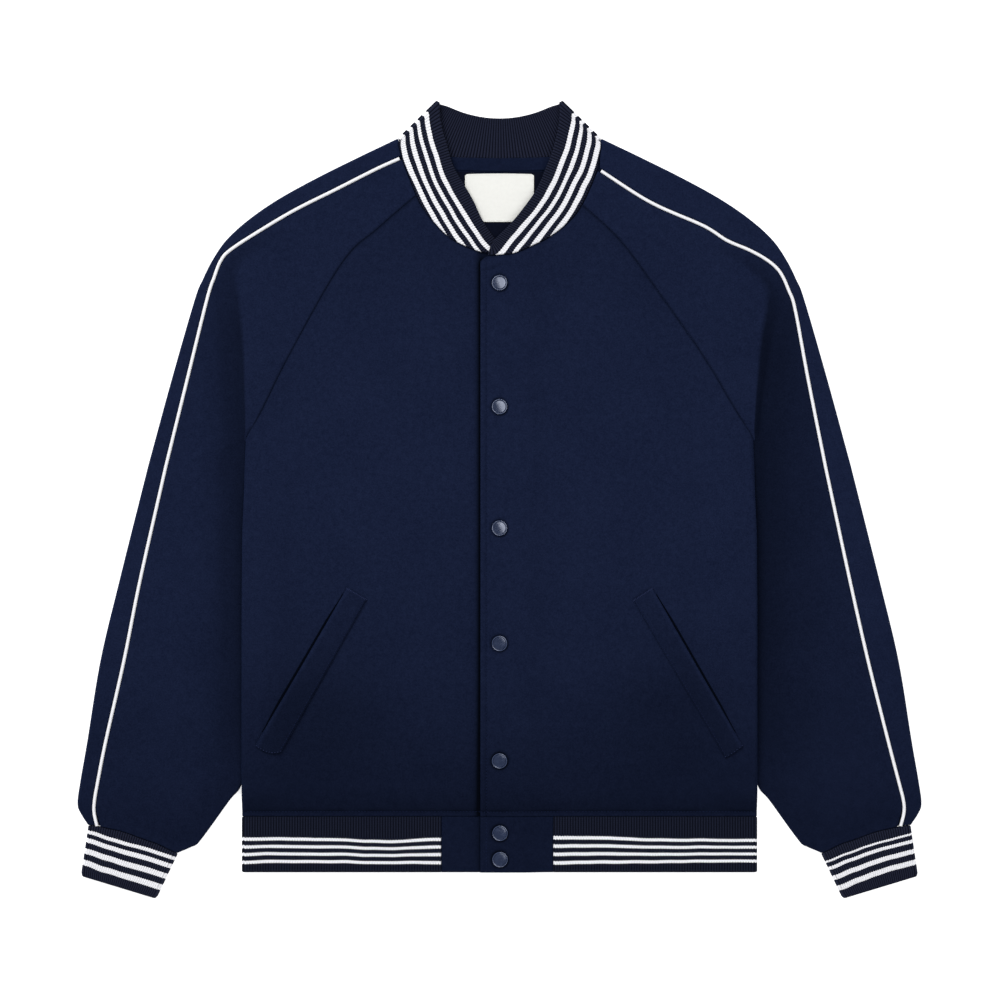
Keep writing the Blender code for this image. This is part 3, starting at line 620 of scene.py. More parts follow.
@dataclass(frozen=True)
class RibKnit(Finish):
    """Wool rib knit: upright wales with painted shade in their furrows, and stripes knitted in across them.

    stripes holds each one's centre and half width along the band, and course is a stitch's height in mm.
    wander is how far the stripes stray, and notch how far a stitch dips in the middle of its wale.
    """

    stripes: tuple[tuple[float, float], ...] = ()
    stripe_colour: str = "F0F0F4"
    stripe_furrow_shade: str = "D6D8E1"
    ridge: str = "272A3C"
    furrow_shade: str = "05060E"
    wander: float = 0.7
    course: float = 1.7
    notch: float = 0.45

    def material(self) -> Material:
        """Colour the stripes, paint shade into the furrows and raise each stitch of a wale.

        Returns:
            The material.
        """
        material, tree, shader = self.start()
        add = partial(add_node, tree)
        calc = partial(add_node, tree, "ShaderNodeMath")
        blend = partial(add_node, tree, "ShaderNodeMix", {"data_type": "RGBA"})
        across, along, outer = (add("ShaderNodeAttribute", {"attribute_name": name}).outputs["Fac"]
                                for name in ("across", "along", "outer"))
        turn = calc({"operation": "MULTIPLY"}, {0: across, 1: math.pi / RIB_PITCH})
        swing = calc({"operation": "SINE"}, {0: turn})
        wale = calc({"operation": "ABSOLUTE"}, {0: swing})
        # The stitches of a wale are Vs, so a course and a stripe's edge dip in its middle
        place = calc({"operation": "MULTIPLY_ADD"}, {0: wale, 1: self.notch, 2: along})
        stray = add("ShaderNodeMapRange", inputs={0: self.clumps(tree, 30.0, 1.0), 1: 0.3, 2: 0.7,
                                                  3: -self.wander, 4: self.wander})
        striped: Node | float = 0.0
        for centre, half in self.stripes:
            strayed = calc({"operation": "ADD"}, {0: place, 1: stray})
            inside = calc({"operation": "COMPARE"},
                         {0: strayed, 1: centre + self.notch / 2, 2: half})
            striped = calc({"operation": "MAXIMUM"}, {0: inside, 1: striped})
        fibre = self.clumps(tree, 0.7, 2.0)
        navy = blend({0: fibre, 6: linear(self.colour), 7: linear(self.ridge)}).outputs[2]
        # Painted shade in the furrows between the wales
        raised = add("ShaderNodeMapRange", inputs={0: wale, 1: 0.1, 2: 0.85})
        navy = blend({0: raised, 6: linear(self.furrow_shade), 7: navy}).outputs[2]
        # Painted shade in the furrows of the white stripes
        raised = add("ShaderNodeMapRange", inputs={0: wale, 1: 0.0, 2: 0.4})
        white = blend({0: raised, 6: linear(self.stripe_furrow_shade), 7: linear(self.stripe_colour)}).outputs[2]
        shown = calc({"operation": "MULTIPLY"}, {0: striped, 1: outer})
        colour = blend({0: shown, 6: navy, 7: white}).outputs[2]
        turn = calc({"operation": "MULTIPLY"}, {0: place, 1: math.tau / self.course})
        course = calc({"operation": "SINE"}, {0: turn})
        fuzz = calc({"operation": "MULTIPLY_ADD"}, {0: fibre, 1: 0.6, 2: wale})
        height = calc({"operation": "MULTIPLY_ADD"}, {0: course, 1: 0.35, 2: fuzz})
        self.cover(tree, shader, colour, height, 0.3)
        return material


@dataclass(frozen=True)
class WovenTrim(Finish):
    """A small woven or twisted trim: piping cover, satin, lining or sewing thread.

    thread is a thread's width and depth its relief, in mm, and slant turns the threads, in radians.
    """

    thread_gap_shade: str = "808080"
    thread: float = 0.5
    depth: float = 0.12
    slant: float = 1.0

    def material(self) -> Material:
        """Draw slanting threads, with painted shade between them and a random tone.

        Returns:
            The material.
        """
        material, tree, shader = self.start()
        add = partial(add_node, tree)
        calc = partial(add_node, tree, "ShaderNodeMath")
        blend = partial(add_node, tree, "ShaderNodeMix", {"data_type": "RGBA"})
        place = add("ShaderNodeTexCoord").outputs["Object"]
        turned = add("ShaderNodeMapping", inputs={"Vector": place, "Rotation": (0, 0, self.slant)})
        # A wave texture turns by 20 radians a unit, and a thread takes half a turn
        wave = add("ShaderNodeTexWave", {"bands_direction": "X"},
                   {"Vector": turned, "Scale": 1 / (self.thread * MM * 20) * math.pi,
                    "Distortion": 1.5, "Detail": 2.0}).outputs["Fac"]
        # Painted shade between the threads, mixed with a random cloudy tone
        cloud = calc({"operation": "MULTIPLY"}, {0: self.clumps(tree, 3.0), 1: 0.6})
        share = calc({"operation": "MULTIPLY_ADD"}, {0: wave, 1: 0.5, 2: cloud})
        share = add("ShaderNodeMapRange", inputs={0: share, 1: 0.1, 2: 0.6})
        colour = blend({0: share, 6: linear(self.thread_gap_shade), 7: linear(self.colour)}).outputs[2]
        self.cover(tree, shader, colour, wave, self.depth)
        return material


@dataclass(frozen=True)
class Gunmetal(Finish):
    """Pressed brass with gunmetal plating: a soft metallic gloss, paler in worn patches and on the rim, by
    wear and painted highlight.
    """

    worn: str = "8E929C"
    # rim is the rim's paler colour, part wear and part painted highlight
    rim: str = "B6BAC4"

    def material(self) -> Material:
        """Brush the metal lightly, let the plating wear in patches, and make the rim paler, as wear and as a
        painted highlight.

        Returns:
            The material.
        """
        material, tree, shader = self.start()
        add = partial(add_node, tree)
        blend = partial(add_node, tree, "ShaderNodeMix", {"data_type": "RGBA"})
        shader.inputs["Metallic"].default_value = 1.0
        patches = add("ShaderNodeMapRange", inputs={0: self.clumps(tree, 3.5, 3.0), 1: 0.45, 2: 0.75})
        colour = blend({0: patches, 6: linear(self.colour), 7: linear(self.worn)}).outputs[2]
        # The rim is painted paler: part wear, part painted highlight
        rubbed = add("ShaderNodeAttribute", {"attribute_name": "rubbed"}).outputs["Fac"]
        colour = blend({0: rubbed, 6: colour, 7: linear(self.rim)}).outputs[2]
        scratches = self.clumps(tree, 0.5, 2.0, (0.15, 1, 1))
        dullness = add("ShaderNodeMapRange", inputs={0: scratches, 1: 0.2, 2: 0.8, 3: self.roughness - 0.05,
                                                     4: self.roughness + 0.05})
        tree.links.new(dullness.outputs[0], shader.inputs["Roughness"])
        self.cover(tree, shader, colour, scratches, 0.02)
        return material


# Each stripe's centre and half width: on the collar from its top, on the hem band from its foot, and on a
# cuff from its seam
COLLAR_STRIPES = ((14.0, 2.2), (23.2, 1.8), (32.3, 2.2), (41.5, 2.4))
HEM_STRIPES = tuple((centre, 1.45) for centre in (10.1, 17.4, 24.4, 31.5))
CUFF_STRIPES = {
    "right": ((4.7, 1.7), (12.9, 2.2), (23.8, 2.7), (35.6, 2.75)),
    "left": ((4.7, 1.1), (12.5, 1.8), (23.8, 2.45), (35.7, 2.7)),
}

WOOL_SHEEN = {"sheen": 0.06, "sheen_tint": "7AA0FF", "gloss": 0.03}
RIB_LOOK = {"slot": "rib", "colour": "151927", "roughness": 0.9, "sheen": 0.04, "sheen_tint": "9AA4C8",
            "gloss": 0.05}

# Melton is milled wool: it looks matt and deep, as light sinks into its nap, and it carries painted shade.
# Rib knit is a springy wool knit, matt, with painted shade in its furrows. The piping's cover is a cotton
# twill cut on the bias, faintly slanted. The label and the lining are satin, so they shine a little along
# their threads, and each woven trim has painted shade between its threads. The snaps are pressed brass,
# plated dark and then handled, with paler rims that are part wear and part painted highlight.
FINISHES = {
    "wool": WoolMelton("navy_wool_melton", "wool", "0C1226", 0.92, pale="1B233C", **WOOL_SHEEN),
    "collar_rib": RibKnit("navy_rib_knit_collar", stripes=COLLAR_STRIPES, **RIB_LOOK),
    "hem_rib": RibKnit("navy_rib_knit_hem", stripes=HEM_STRIPES, wander=0.25, ridge="1B1F2E", notch=0.8,
                       **RIB_LOOK),
    "cuff_rib_right": RibKnit("navy_rib_knit_right_cuff", stripes=CUFF_STRIPES["right"], wander=0.4,
                              notch=0.7, **RIB_LOOK),
    "cuff_rib_left": RibKnit("navy_rib_knit_left_cuff", stripes=CUFF_STRIPES["left"], wander=0.4,
                             notch=0.7, **RIB_LOOK),
    "piping": WovenTrim("off_white_bias_piping", "trim", "F3F3F6", 0.6, sheen=0.2, gloss=0.3, thread_gap_shade="D8DAE2",
                        thread=0.6, depth=0.08, slant=0.8),
    "label": WovenTrim("off_white_satin_label", "label", "E9E9E4", 0.42, sheen=0.1, thread_gap_shade="DDDDD8", thread=0.5,
                       depth=0.05, slant=0.0),
    "lining": WovenTrim("navy_satin_lining", "lining", "0A0E1E", 0.5, gloss=0.05, thread_gap_shade="04060F", thread=0.5,
                        depth=0.05, slant=0.6),
    "thread": WovenTrim("navy_sewing_thread", "wool", "182140", 0.6, gloss=0.1, thread_gap_shade="0D1429", thread=0.25,
                        depth=0.05, slant=0.9),
    "tack_thread": WovenTrim("blue_tack_thread", "wool", "2E3658", 0.6, gloss=0.1, thread_gap_shade="1D2544", thread=0.25,
                             depth=0.05, slant=0.9),
    "label_thread": WovenTrim("off_white_thread", "label", "F2F2EE", 0.6, thread_gap_shade="C9C9C4", thread=0.25,
                              depth=0.05, slant=0.9),
    "snap": Gunmetal("gunmetal_plating", "snap", "7A7E89", 0.13),
}


class Wardrobe:
    """The finishes, each made into a material once."""

    def __init__(self) -> None:
        """Start with nothing made."""
        self.made: dict[str, Material] = {}

    def material(self, name: str) -> Material:
        """The material of a finish.

        Args:
            name: The finish's key.

        Returns:
            Its one material.
        """
        if name not in self.made:
            self.made[name] = FINISHES[name].material()
        return self.made[name]


WARDROBE = Wardrobe()


# Geometry Nodes


def new_tree(name: str,
             sockets: dict[str, str]) -> tuple[Tree, Node, Node]:
    """Start a Geometry Nodes tree with a geometry input and output.

    Args:
        name: The tree's name.
        sockets: The type of each further input.

    Returns:
        The tree, its input node and its output node.
    """
    tree = bpy.data.node_groups.new(name, "GeometryNodeTree")
    tree.interface.new_socket("Geometry", in_out="INPUT", socket_type="NodeSocketGeometry")
    for socket, kind in sockets.items():
        tree.interface.new_socket(socket, in_out="INPUT", socket_type=kind)
    tree.interface.new_socket("Geometry", in_out="OUTPUT", socket_type="NodeSocketGeometry")
    return tree, add_node(tree, "NodeGroupInput"), add_node(tree, "NodeGroupOutput")


def end_tree(tree: Tree, given: Node, out: Node, geometry: Socket) -> None:
    """End a tree with realized geometry in the material that it was given.

    Args:
        tree: The tree.
        given: Its input node.
        out: Its output node.
        geometry: What it has made so far.
    """
    real = add_node(tree, "GeometryNodeRealizeInstances", inputs={"Geometry": geometry})
    dressed = add_node(tree, "GeometryNodeSetMaterial",
                       inputs={"Geometry": real, "Material": given.outputs["Material"]})
    tree.links.new(dressed.outputs[0], out.inputs[0])


def rib_tree() -> Tree:
    """Raise a band's wales: round ridges with narrow furrows, a pitch apart along the across attribute.

    Returns:
        The tree.
    """
    tree, given, out = new_tree("raised_wales", {"Pitch": "NodeSocketFloat", "Depth": "NodeSocketFloat",
                                                 "Material": "NodeSocketMaterial"})
    add = partial(add_node, tree)
    calc = partial(add_node, tree, "ShaderNodeMath")
    across, mask = (add("GeometryNodeInputNamedAttribute", {"data_type": "FLOAT"}, {0: name})
                    for name in ("across", "rib"))
    angle = calc({"operation": "MULTIPLY"}, {0: across, 1: math.pi})
    turn = calc({"operation": "DIVIDE"}, {0: angle, 1: given.outputs["Pitch"]})
    swing = calc({"operation": "SINE"}, {0: turn})
    ridge = calc({"operation": "ABSOLUTE"}, {0: swing})
    rounded = calc({"operation": "POWER"}, {0: ridge, 1: 0.7})
    share = calc({"operation": "MULTIPLY"}, {0: rounded, 1: mask})
    high = calc({"operation": "MULTIPLY"}, {0: share, 1: given.outputs["Depth"]})
    normal = add("GeometryNodeInputNormal")
    offset = add("ShaderNodeVectorMath", {"operation": "SCALE"}, {0: normal, "Scale": high})
    moved = add("GeometryNodeSetPosition", inputs={"Geometry": given, "Offset": offset})
    end_tree(tree, given, out, moved.outputs[0])
    return tree


def stitch_tree() -> Tree:
    """Lay a small rounded stitch at every pitch along each line, with its length along the line.

    Returns:
        The tree.
    """
    tree, given, out = new_tree("topstitch", {"Pitch": "NodeSocketFloat", "Length": "NodeSocketFloat",
                                              "Width": "NodeSocketFloat", "Material": "NodeSocketMaterial"})
    add = partial(add_node, tree)
    curve = add("GeometryNodeMeshToCurve", inputs={"Mesh": given})
    spaced = add("GeometryNodeResampleCurve", {"mode": "LENGTH"},
                 {"Curve": curve, "Length": given.outputs["Pitch"]})
    bead = add("GeometryNodeMeshUVSphere", inputs={"Segments": 6, "Rings": 5, "Radius": 0.5})
    length, width = given.outputs["Length"], given.outputs["Width"]
    size = add("ShaderNodeCombineXYZ", inputs={"X": length, "Y": width, "Z": width})
    tangent = add("GeometryNodeInputTangent")
    aim = add("FunctionNodeAlignEulerToVector", {"axis": "X"}, {"Vector": tangent})
    placed = add("GeometryNodeInstanceOnPoints",
                 inputs={"Points": spaced, "Instance": bead, "Rotation": aim, "Scale": size})
    end_tree(tree, given, out, placed.outputs[0])
    return tree


def cord_tree() -> Tree:
    """Sweep a round section along a line, with closed ends.

    Returns:
        The tree.
    """
    tree, given, out = new_tree("piping_cord", {"Radius": "NodeSocketFloat",
                                                "Material": "NodeSocketMaterial"})
    add = partial(add_node, tree)
    curve = add("GeometryNodeMeshToCurve", inputs={"Mesh": given})
    ring = add("GeometryNodeCurvePrimitiveCircle",
               inputs={"Resolution": 14, "Radius": given.outputs["Radius"]})
    tube = add("GeometryNodeCurveToMesh", inputs={"Curve": curve, "Profile Curve": ring, "Fill Caps": True})
    smoothed = add("GeometryNodeSetShadeSmooth", inputs={"Geometry": tube})
    end_tree(tree, given, out, smoothed.outputs[0])
    return tree


TREES = {make.__name__: make() for make in (rib_tree, stitch_tree, cord_tree)}


def grown(obj: Object, tree: str, values: dict[str, object]) -> Object:
    """Run a tree on an object and keep its result as the object's plain mesh.

    Args:
        obj: The object that the tree starts from.
        tree: The tree's key.
        values: A value for each named input.

    Returns:
        The same object, with the new mesh and no modifier.
    """
    group = TREES[tree]
    modifier = obj.modifiers.new(group.name, "NODES")
    modifier.node_group = group
    for item in group.interface.items_tree:
        if item.in_out == "INPUT" and item.name in values:
            modifier[item.identifier] = values[item.name]
    graph = bpy.context.evaluated_depsgraph_get()
    mesh = bpy.data.meshes.new_from_object(obj.evaluated_get(graph), preserve_all_data_layers=True,
                                           depsgraph=graph)
    obj.modifiers.remove(modifier)
    obj.data = mesh
    mesh.shade_smooth()
    return obj


# Meshes


def new_object(name: str, mesh: bpy.types.Mesh) -> Object:
    """Link a mesh into the scene as an object at the origin.

    Args:
        name: The object's name.
        mesh: Its mesh.

    Returns:
        The object.
    """
    obj = bpy.data.objects.new(name, mesh)
    bpy.context.scene.collection.objects.link(obj)
    return obj


def line_object(name: str, lines: list[Array]) -> Object:
    """Make an object of bare edges.

    Args:
        name: Its name.
        lines: The points of each line, in mm.

    Returns:
        The object.
    """
    mesh = bpy.data.meshes.new(name)
    edges, start = [], 0
    for line in lines:
        edges += [(start + i, start + i + 1) for i in range(len(line) - 1)]
        start += len(line)
    mesh.from_pydata((np.vstack(lines) * MM).tolist(), edges, [])
    return new_object(name, mesh)


def zipped(first: list[int], first_at: Array, second: list[int],
           second_at: Array) -> list[tuple[int, int, int]]:
    """Join two lines of vertices whose places run alike.

    Args:
        first: One line's vertices.
        first_at: Their places.
        second: The other line's vertices.
        second_at: Their places.

    Returns:
        The triangles between the two.
    """
    i = j = 0
    out = []
    while i < len(first) - 1 or j < len(second) - 1:
        if j == len(second) - 1 or (i < len(first) - 1 and first_at[i + 1] <= second_at[j + 1]):
            out.append((first[i + 1], first[i], second[j]))
            i += 1
        else:
            out.append((second[j], second[j + 1], first[i]))
            j += 1
    return out


@dataclass
class Wall:
    """A closed wall of cloth round a grid of middle points, rows along the piece and columns across it.

    shown is 1 where the shown face lies on the side of across by along, and -1 where it lies on the other.
    outer and inner are how much of a rib's depth each face has. pressed is how far painted shade darkens it.
    fanned is set where the rows slope to follow a slanted top edge; it is not used.
    """

    name: str
    middle: Array
    finish: str
    across: Array
    along: Array
    thickness: float = CLOTH
    shown: int = 1
    coarse: int = 6
    loop: bool = False
    outer: float = 0.0
    inner: float | Array = 0.0
    pressed: float | Array = 0.0
    edge: float | Array = EDGE_ROUND
    fanned: bool = False

    def from_edge(self) -> Array:
        """How far each middle point lies from the piece's edge.

        Returns:
            The distances, up to the one that an edge rounds over.
        """
        border = [self.middle[0], self.middle[-1]]
        if not self.loop:
            border += [self.middle[:, 0], self.middle[:, -1]]
        dense = []
        for line in border:
            run = runs(line)
            at = np.linspace(0, run[-1], max(2, int(run[-1] / BORDER_STEP)))
            dense.append(np.stack([np.interp(at, run, axis) for axis in line.T], axis=-1))
        dense = np.vstack(dense)
        tree = KDTree(len(dense))
        for number, point in enumerate(dense):
            tree.insert(point, number)
        tree.balance()
        found = [tree.find(point)[2] for point in self.middle.reshape(-1, 3)]
        return np.minimum(np.array(found).reshape(self.middle.shape[:2]), self.edge)

    def normals(self) -> Array:
        """The unit normals of the middle surface.

        Returns:
            The normal at each middle point, on the shown side.
        """
        points = self.middle
        along = np.gradient(points, axis=0)
        if self.loop:
            across = np.roll(points, -1, axis=1) - np.roll(points, 1, axis=1)
        else:
            across = np.gradient(points, axis=1)
        normal = self.shown * np.cross(across, along)
        return normal / np.linalg.norm(normal, axis=-1, keepdims=True)

    def build(self) -> Object:
        """Make the wall's mesh, with its attributes and its finish.

        Returns:
            The wall's object.
        """
        near = self.from_edge()
        swell = np.sqrt(1 - (1 - near / self.edge) ** 2)
        away = self.normals() * (swell * self.thickness / 2)[..., None]
        rows, columns = near.shape
        ring = len(EDGE_RING)
        rim = 0 if self.loop else ring
        row_picks = np.unique([*range(ring, rows - ring, self.coarse), rows - 1 - ring])
        column_picks = np.unique([*range(rim, columns - rim, self.coarse), columns - 1 - rim])
        picked = np.ix_(row_picks, column_picks)
        top = np.arange(rows * columns).reshape(rows, columns)
        low = (rows * columns + np.arange(len(row_picks) * len(column_picks))).reshape(len(row_picks), -1)
        points = np.vstack([(self.middle + away).reshape(-1, 3), (self.middle - away)[picked].reshape(-1, 3)])
        quads = [self.cells(top), self.cells(low)[:, ::-1]]
        triangles = self.sides(top, low, row_picks, column_picks)
        if signed_volume(points, np.vstack(quads), np.array(triangles)) < 0:
            quads = [part[:, ::-1] for part in quads]
            triangles = [triangle[::-1] for triangle in triangles]
        mesh = bpy.data.meshes.new(self.name)
        mesh.from_pydata((points * MM).tolist(), [], np.vstack(quads).tolist() + triangles)
        mesh.shade_smooth()
        fade = near / self.edge
        inner, pressed = (np.broadcast_to(value, near.shape) for value in (self.inner, self.pressed))
        values = {
            # The painted shade that the wool darkens by
            "pressed": (pressed, pressed[picked]),
            "across": (self.across, self.across[picked]),
            "along": (self.along, self.along[picked]),
            "outer": (np.ones_like(near), np.zeros(low.shape)),
            "rib": (self.outer * fade, (inner * fade)[picked]),
        }
        for name, parts in values.items():
            data = np.concatenate([np.ravel(part) for part in parts]).astype(np.float32)
            mesh.attributes.new(name, "FLOAT", "POINT").data.foreach_set("value", data)
        obj = new_object(self.name, mesh)
        material = WARDROBE.material(self.finish)
        mesh.materials.append(material)
        if self.outer:
            grown(obj, "rib_tree", {"Pitch": RIB_PITCH, "Depth": RIB_DEPTH * MM, "Material": material})
        return obj

    def closed(self, grid: Array) -> Array:
        """The grid, with its first column once more at its end where the wall is a loop."""
        return np.hstack([grid, grid[:, :1]]) if self.loop else grid

    def cells(self, grid: Array) -> Array:
        """The corners of each cell of a grid of vertex numbers."""
        grid = self.closed(grid)
        return np.stack([grid[:-1, :-1], grid[:-1, 1:], grid[1:, 1:], grid[1:, :-1]], axis=-1).reshape(-1, 4)

    def sides(self, top: Array, low: Array, row_picks: Array,
              column_picks: Array) -> list[tuple[int, int, int]]:
        """Close the wall between its two faces, all round its edge.

        Args:
            top: The shown face's vertices.
            low: The hidden face's.
            row_picks: Which of the shown rows the hidden ones lie under.
            column_picks: Which of the shown columns the hidden ones lie under.

        Returns:
            The triangles between the faces.
        """
        if self.loop:
            top, low = self.closed(top), self.closed(low)
            column_picks = np.append(column_picks, top.shape[1] - 1)
        rows, columns = top.shape
        by_row, by_column = np.arange(rows), np.arange(columns)
        back_picks = (columns - 1 - column_picks)[::-1]
        out = zipped(top[0].tolist(), by_column, low[0].tolist(), column_picks)
        out += zipped(top[-1, ::-1].tolist(), by_column, low[-1, ::-1].tolist(), back_picks)
        if not self.loop:
            out += zipped(top[:, -1].tolist(), by_row, low[:, -1].tolist(), row_picks)
            out += zipped(top[::-1, 0].tolist(), by_row, low[::-1, 0].tolist(), (rows - 1 - row_picks)[::-1])
        return out


def signed_volume(points: Array, quads: Array, triangles: Array) -> float:
    """The volume inside a closed mesh.

    Args:
        points: Its points.
        quads: Its faces of four corners.
        triangles: Its faces of three.

    Returns:
        The volume, negative where the faces point in.
    """
    faces = np.vstack([quads[:, :3], quads[:, [0, 2, 3]], triangles])
    first, second, third = (points[faces[:, i]] for i in range(3))
    return float((first * np.cross(second, third)).sum() / 6)


def dress(obj: Object, nodes: tuple[str, ...] = ()) -> Object:
    """Make a piece ride on the body and stand for its solids.

    Args:
        obj: The piece.
        nodes: The solids that it replaces.

    Returns:
        The piece.
    """
    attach(obj, BODY)
    if nodes:
        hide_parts(*nodes)
    LOG.info("%s: %d faces", obj.name, len(obj.data.polygons))
    return obj


def sewn_sheet(wall: Wall, node: str) -> Object:
    """Build a wall as a sheet of cloth.

    Args:
        wall: The wall, with the cut in its middle surface.
        node: The solid that it stands for.

    Returns:
        The finished piece.
    """
    obj = dress(wall.build(), (node,))
    return obj


# Body


@dataclass
class Body:
    """The two front panels and the back, with the creases that they lie in."""

    # Rows and columns: their spacing, and the closer ones by stitches and snaps and at the overlap
    step: float = 2.7
    side_steps: int = 9
    fan_from: float = -30.0
    fine_steps = np.arange(-10.8, 10.9, 1.35)
    fine_above: float = 2.6
    overlap_steps = (-1.0, 0.0, 0.8, 1.6, 2.4, 3.4, 4.8, 6.4)
    rows_apart: float = 0.6
    columns_apart: float = 0.5
    # Edges: the turn, in radians, past which the side's are seams, the armpit, and the corner at the neck
    seam_turn: float = 1.1
    armpit_from: float = 234.0
    armpit_lap: float = 1.0
    armpit_fall: float = 8.2
    corner_from: float = -10.5
    corner_drop: float = 5.4
    # Heights, pitches and reaches of the grooves, the gathers above the hem band and the soft swells
    stitch_sink: float = 0.45
    groove: float = 1.2
    back_groove: float = 0.9
    pucker: float = 0.35
    pucker_pitch: float = 13.0
    pucker_reach: float = 24.0
    back_pucker_reach: float = 14.0
    swell: float = 0.25
    swell_pitch: float = 140.0
    swell_full: float = -200.0
    back_swell: float = 0.2
    back_swell_pitch: float = 90.0
    # Painted shade, from 0 for none up to 1 for the near-black colour; brushed is painted shade by height,
    # darker towards the hem
    brushed = ((-304, 0.56), (-275, 0.42), (-245, 0.32), (-216, 0.22), (-157, 0.1), (-70, 0.04), (20, 0.0),
               (150, 0.0), (250, 0.08))
    lap_shade: float = 0.85
    lap_reach: float = 3.6
    lap_haze: float = 0.25
    lap_haze_reach: float = 5.0
    placket_shade: float = 0.3
    placket_reach: float = 0.9
    snap_shade: float = 0.55
    hem_shade: float = 0.3
    hem_glow: float = 0.14
    pocket_shade: float = 0.22
    pocket_reach: float = 62.0
    below_pocket = (168.0, -205.0)
    raglan_spread: float = 0.6

    front_creases = {
        -1: (
            Crease((-236, 66), (-150, 18), 13, 0.8, -6), Crease((-240, 40), (-176, -26), 10, -0.5, 5),
            Crease((-226, -40), (-219, -236), 13, 0.7, 5), Crease((-206, -252), (-112, -288), 11, -0.5, 4),
            Crease((-122, -276), (-70, -292), 9, 0.5), Crease((-33, 176), (-29, -120), 8, -0.4, -2),
            Crease((-96, 262), (-58, 214), 10, -0.4, 3), Crease((-150, 160), (-70, 120), 18, 0.45, -5),
            Crease((-128, -92), (-66, -78), 12, 0.4, 3), Crease((-190, 30), (-90, -10), 20, -0.4, 6),
        ),
        1: (
            Crease((238, 62), (160, 4), 13, 0.8, 7), Crease((242, 30), (188, -44), 10, -0.5, -4),
            Crease((228, -60), (222, -214), 12, 0.7, -4), Crease((214, -254), (126, -290), 11, -0.5, -4),
            Crease((116, -280), (66, -290), 9, 0.45), Crease((58, 150), (52, -60), 10, -0.35, 2),
            Crease((98, 246), (62, 196), 10, -0.4, -3), Crease((150, 148), (84, 128), 18, 0.4, 4),
            Crease((126, -94), (72, -76), 12, 0.4, -3), Crease((182, 8), (100, -34), 20, -0.4, -6),
            Crease((-17, 226.5), (3, 232.5), 2.6, 0.9), Crease((-17, 222.5), (4, 228.5), 2.2, -0.7),
        ),
    }
    back_creases = (
        Crease((-150, 210), (-60, 236), 16, 0.8, -8), Crease((160, 200), (70, 232), 16, 0.7, 8),
        Crease((-196, 96), (-96, 30), 13, 0.9, 9), Crease((204, 90), (112, 16), 13, 0.8, -8),
        Crease((-40, 150), (52, 128), 18, 0.6, 7), Crease((-150, -60), (-40, -92), 14, 0.7, 6),
        Crease((132, -40), (34, -110), 14, 0.8, -7), Crease((-176, -150), (-150, -270), 12, 0.8, 5),
        Crease((168, -140), (150, -262), 12, 0.7, -5), Crease((-70, -230), (60, -246), 13, 0.6, 8),
        Crease((-20, 60), (10, -120), 11, 0.5, 6),
    )

    def build(self) -> dict[str, Object]:
        """Build the three panels.

        Returns:
            Each one, by node name.
        """
        made = {"back": self.back()}
        for side in Side:
            made[f"front_{side.word}"] = self.front(side)
        return made

    def levels(self, top: Array, fine: Sequence[float] = ()) -> Array:
        """The rows' heights in plan, level up to a line and fanned out above it.

        Args:
            top: The top edge above each column.
            fine: Heights that closer rows surround.

        Returns:
            The height of each row at each column.
        """
        stitched = [HEM_STITCH + above for above in (-self.groove, 0.0, self.groove, self.fine_above)]
        flat = marks((HEM_SEAM, *stitched, self.fan_from), self.step)[: -len(EDGE_RING)]
        reach = float(top.max()) - self.fan_from
        shares = shares_of(reach, self.step)[len(EDGE_RING) + 1 :]
        for height in fine:
            near = height + self.fine_steps
            flat = refined(flat, near, self.rows_apart)
            near = (near - self.fan_from) / (float(top[0]) - self.fan_from)
            shares = refined(shares, near, self.rows_apart / reach)
        above = self.fan_from + (top - self.fan_from)[None, :] * shares[:, None]
        level = np.repeat(flat[:-1, None], len(top), axis=1)
        return np.vstack([level, np.full((1, len(top)), self.fan_from), above])

    def relief(self, side: Side, out: Array, y: Array) -> Array:
        """How far a front panel's creases, puckers and soft swells lift it.

        Args:
            side: The wearer's side.
            out: Places out from the centre line.
            y: Places up the garment.

        Returns:
            The lift at each.
        """
        sign = side.value
        swell = self.swell * uneven(out + 0.4 * y, self.swell_pitch, 2 + sign)
        swell = swell * smooth(y, HEM_SEAM, self.swell_full)
        dent = SNAP_DENT * snap_press(out, y) if side is Side.LEFT else 0.0
        creases = creased(self.front_creases[sign], sign * out, y)
        return creases + self.puckers(out, y, sign) + swell - dent

    def front_pressed(self, side: Side, out: Array, y: Array) -> Array:
        """The painted shade on a front: towards the hem, below the pocket, at the overlap and at the snaps.

        Args:
            side: The wearer's side.
            out: Places out from the centre line.
            y: Places up the garment.

        Returns:
            The share at each, from 0 to 1.
        """
        # A soft patch of painted shade below the pocket
        x_below, y_below = self.below_pocket
        reach = self.pocket_reach
        below = np.exp(-(((out - x_below) / reach) ** 2) - ((y - y_below) / reach) ** 2)
        if side is Side.RIGHT:
            clear = np.maximum(out + FRONT_EDGE[1], 0)
            # Painted shadow beside the left front's overlapping edge; worn holds painted shade here, not wear
            worn = self.lap_shade * hump(clear, self.lap_reach)
            worn = worn + self.lap_haze * np.exp(-clear / self.lap_haze_reach)
            # Less so at the very top, where the neck's seam holds the overlap shut
            worn = worn * (1 - 0.5 * smooth(y, 228, 240))
        else:
            # Painted shade at the placket's stitches, and a painted shadow ring round each snap
            worn = self.placket_shade * hump(out - FRONT_EDGE[1], self.placket_reach, PLACKET_STITCH)
            worn = worn + self.snap_shade * snap_press(out, y)
        # Painted shade just above the hem's stitches, and a painted highlight on the roll below them
        above = y - HEM_STITCH
        worn = worn + self.hem_shade * hump(above, 1.1, 1.4) * (0.7 + 0.5 * uneven(out, 37, side.value))
        worn = worn - self.hem_glow * hump(above, 2.0, -3.0)
        return np.clip(eased(self.brushed, y) + self.pocket_shade * below + worn, 0, 1)

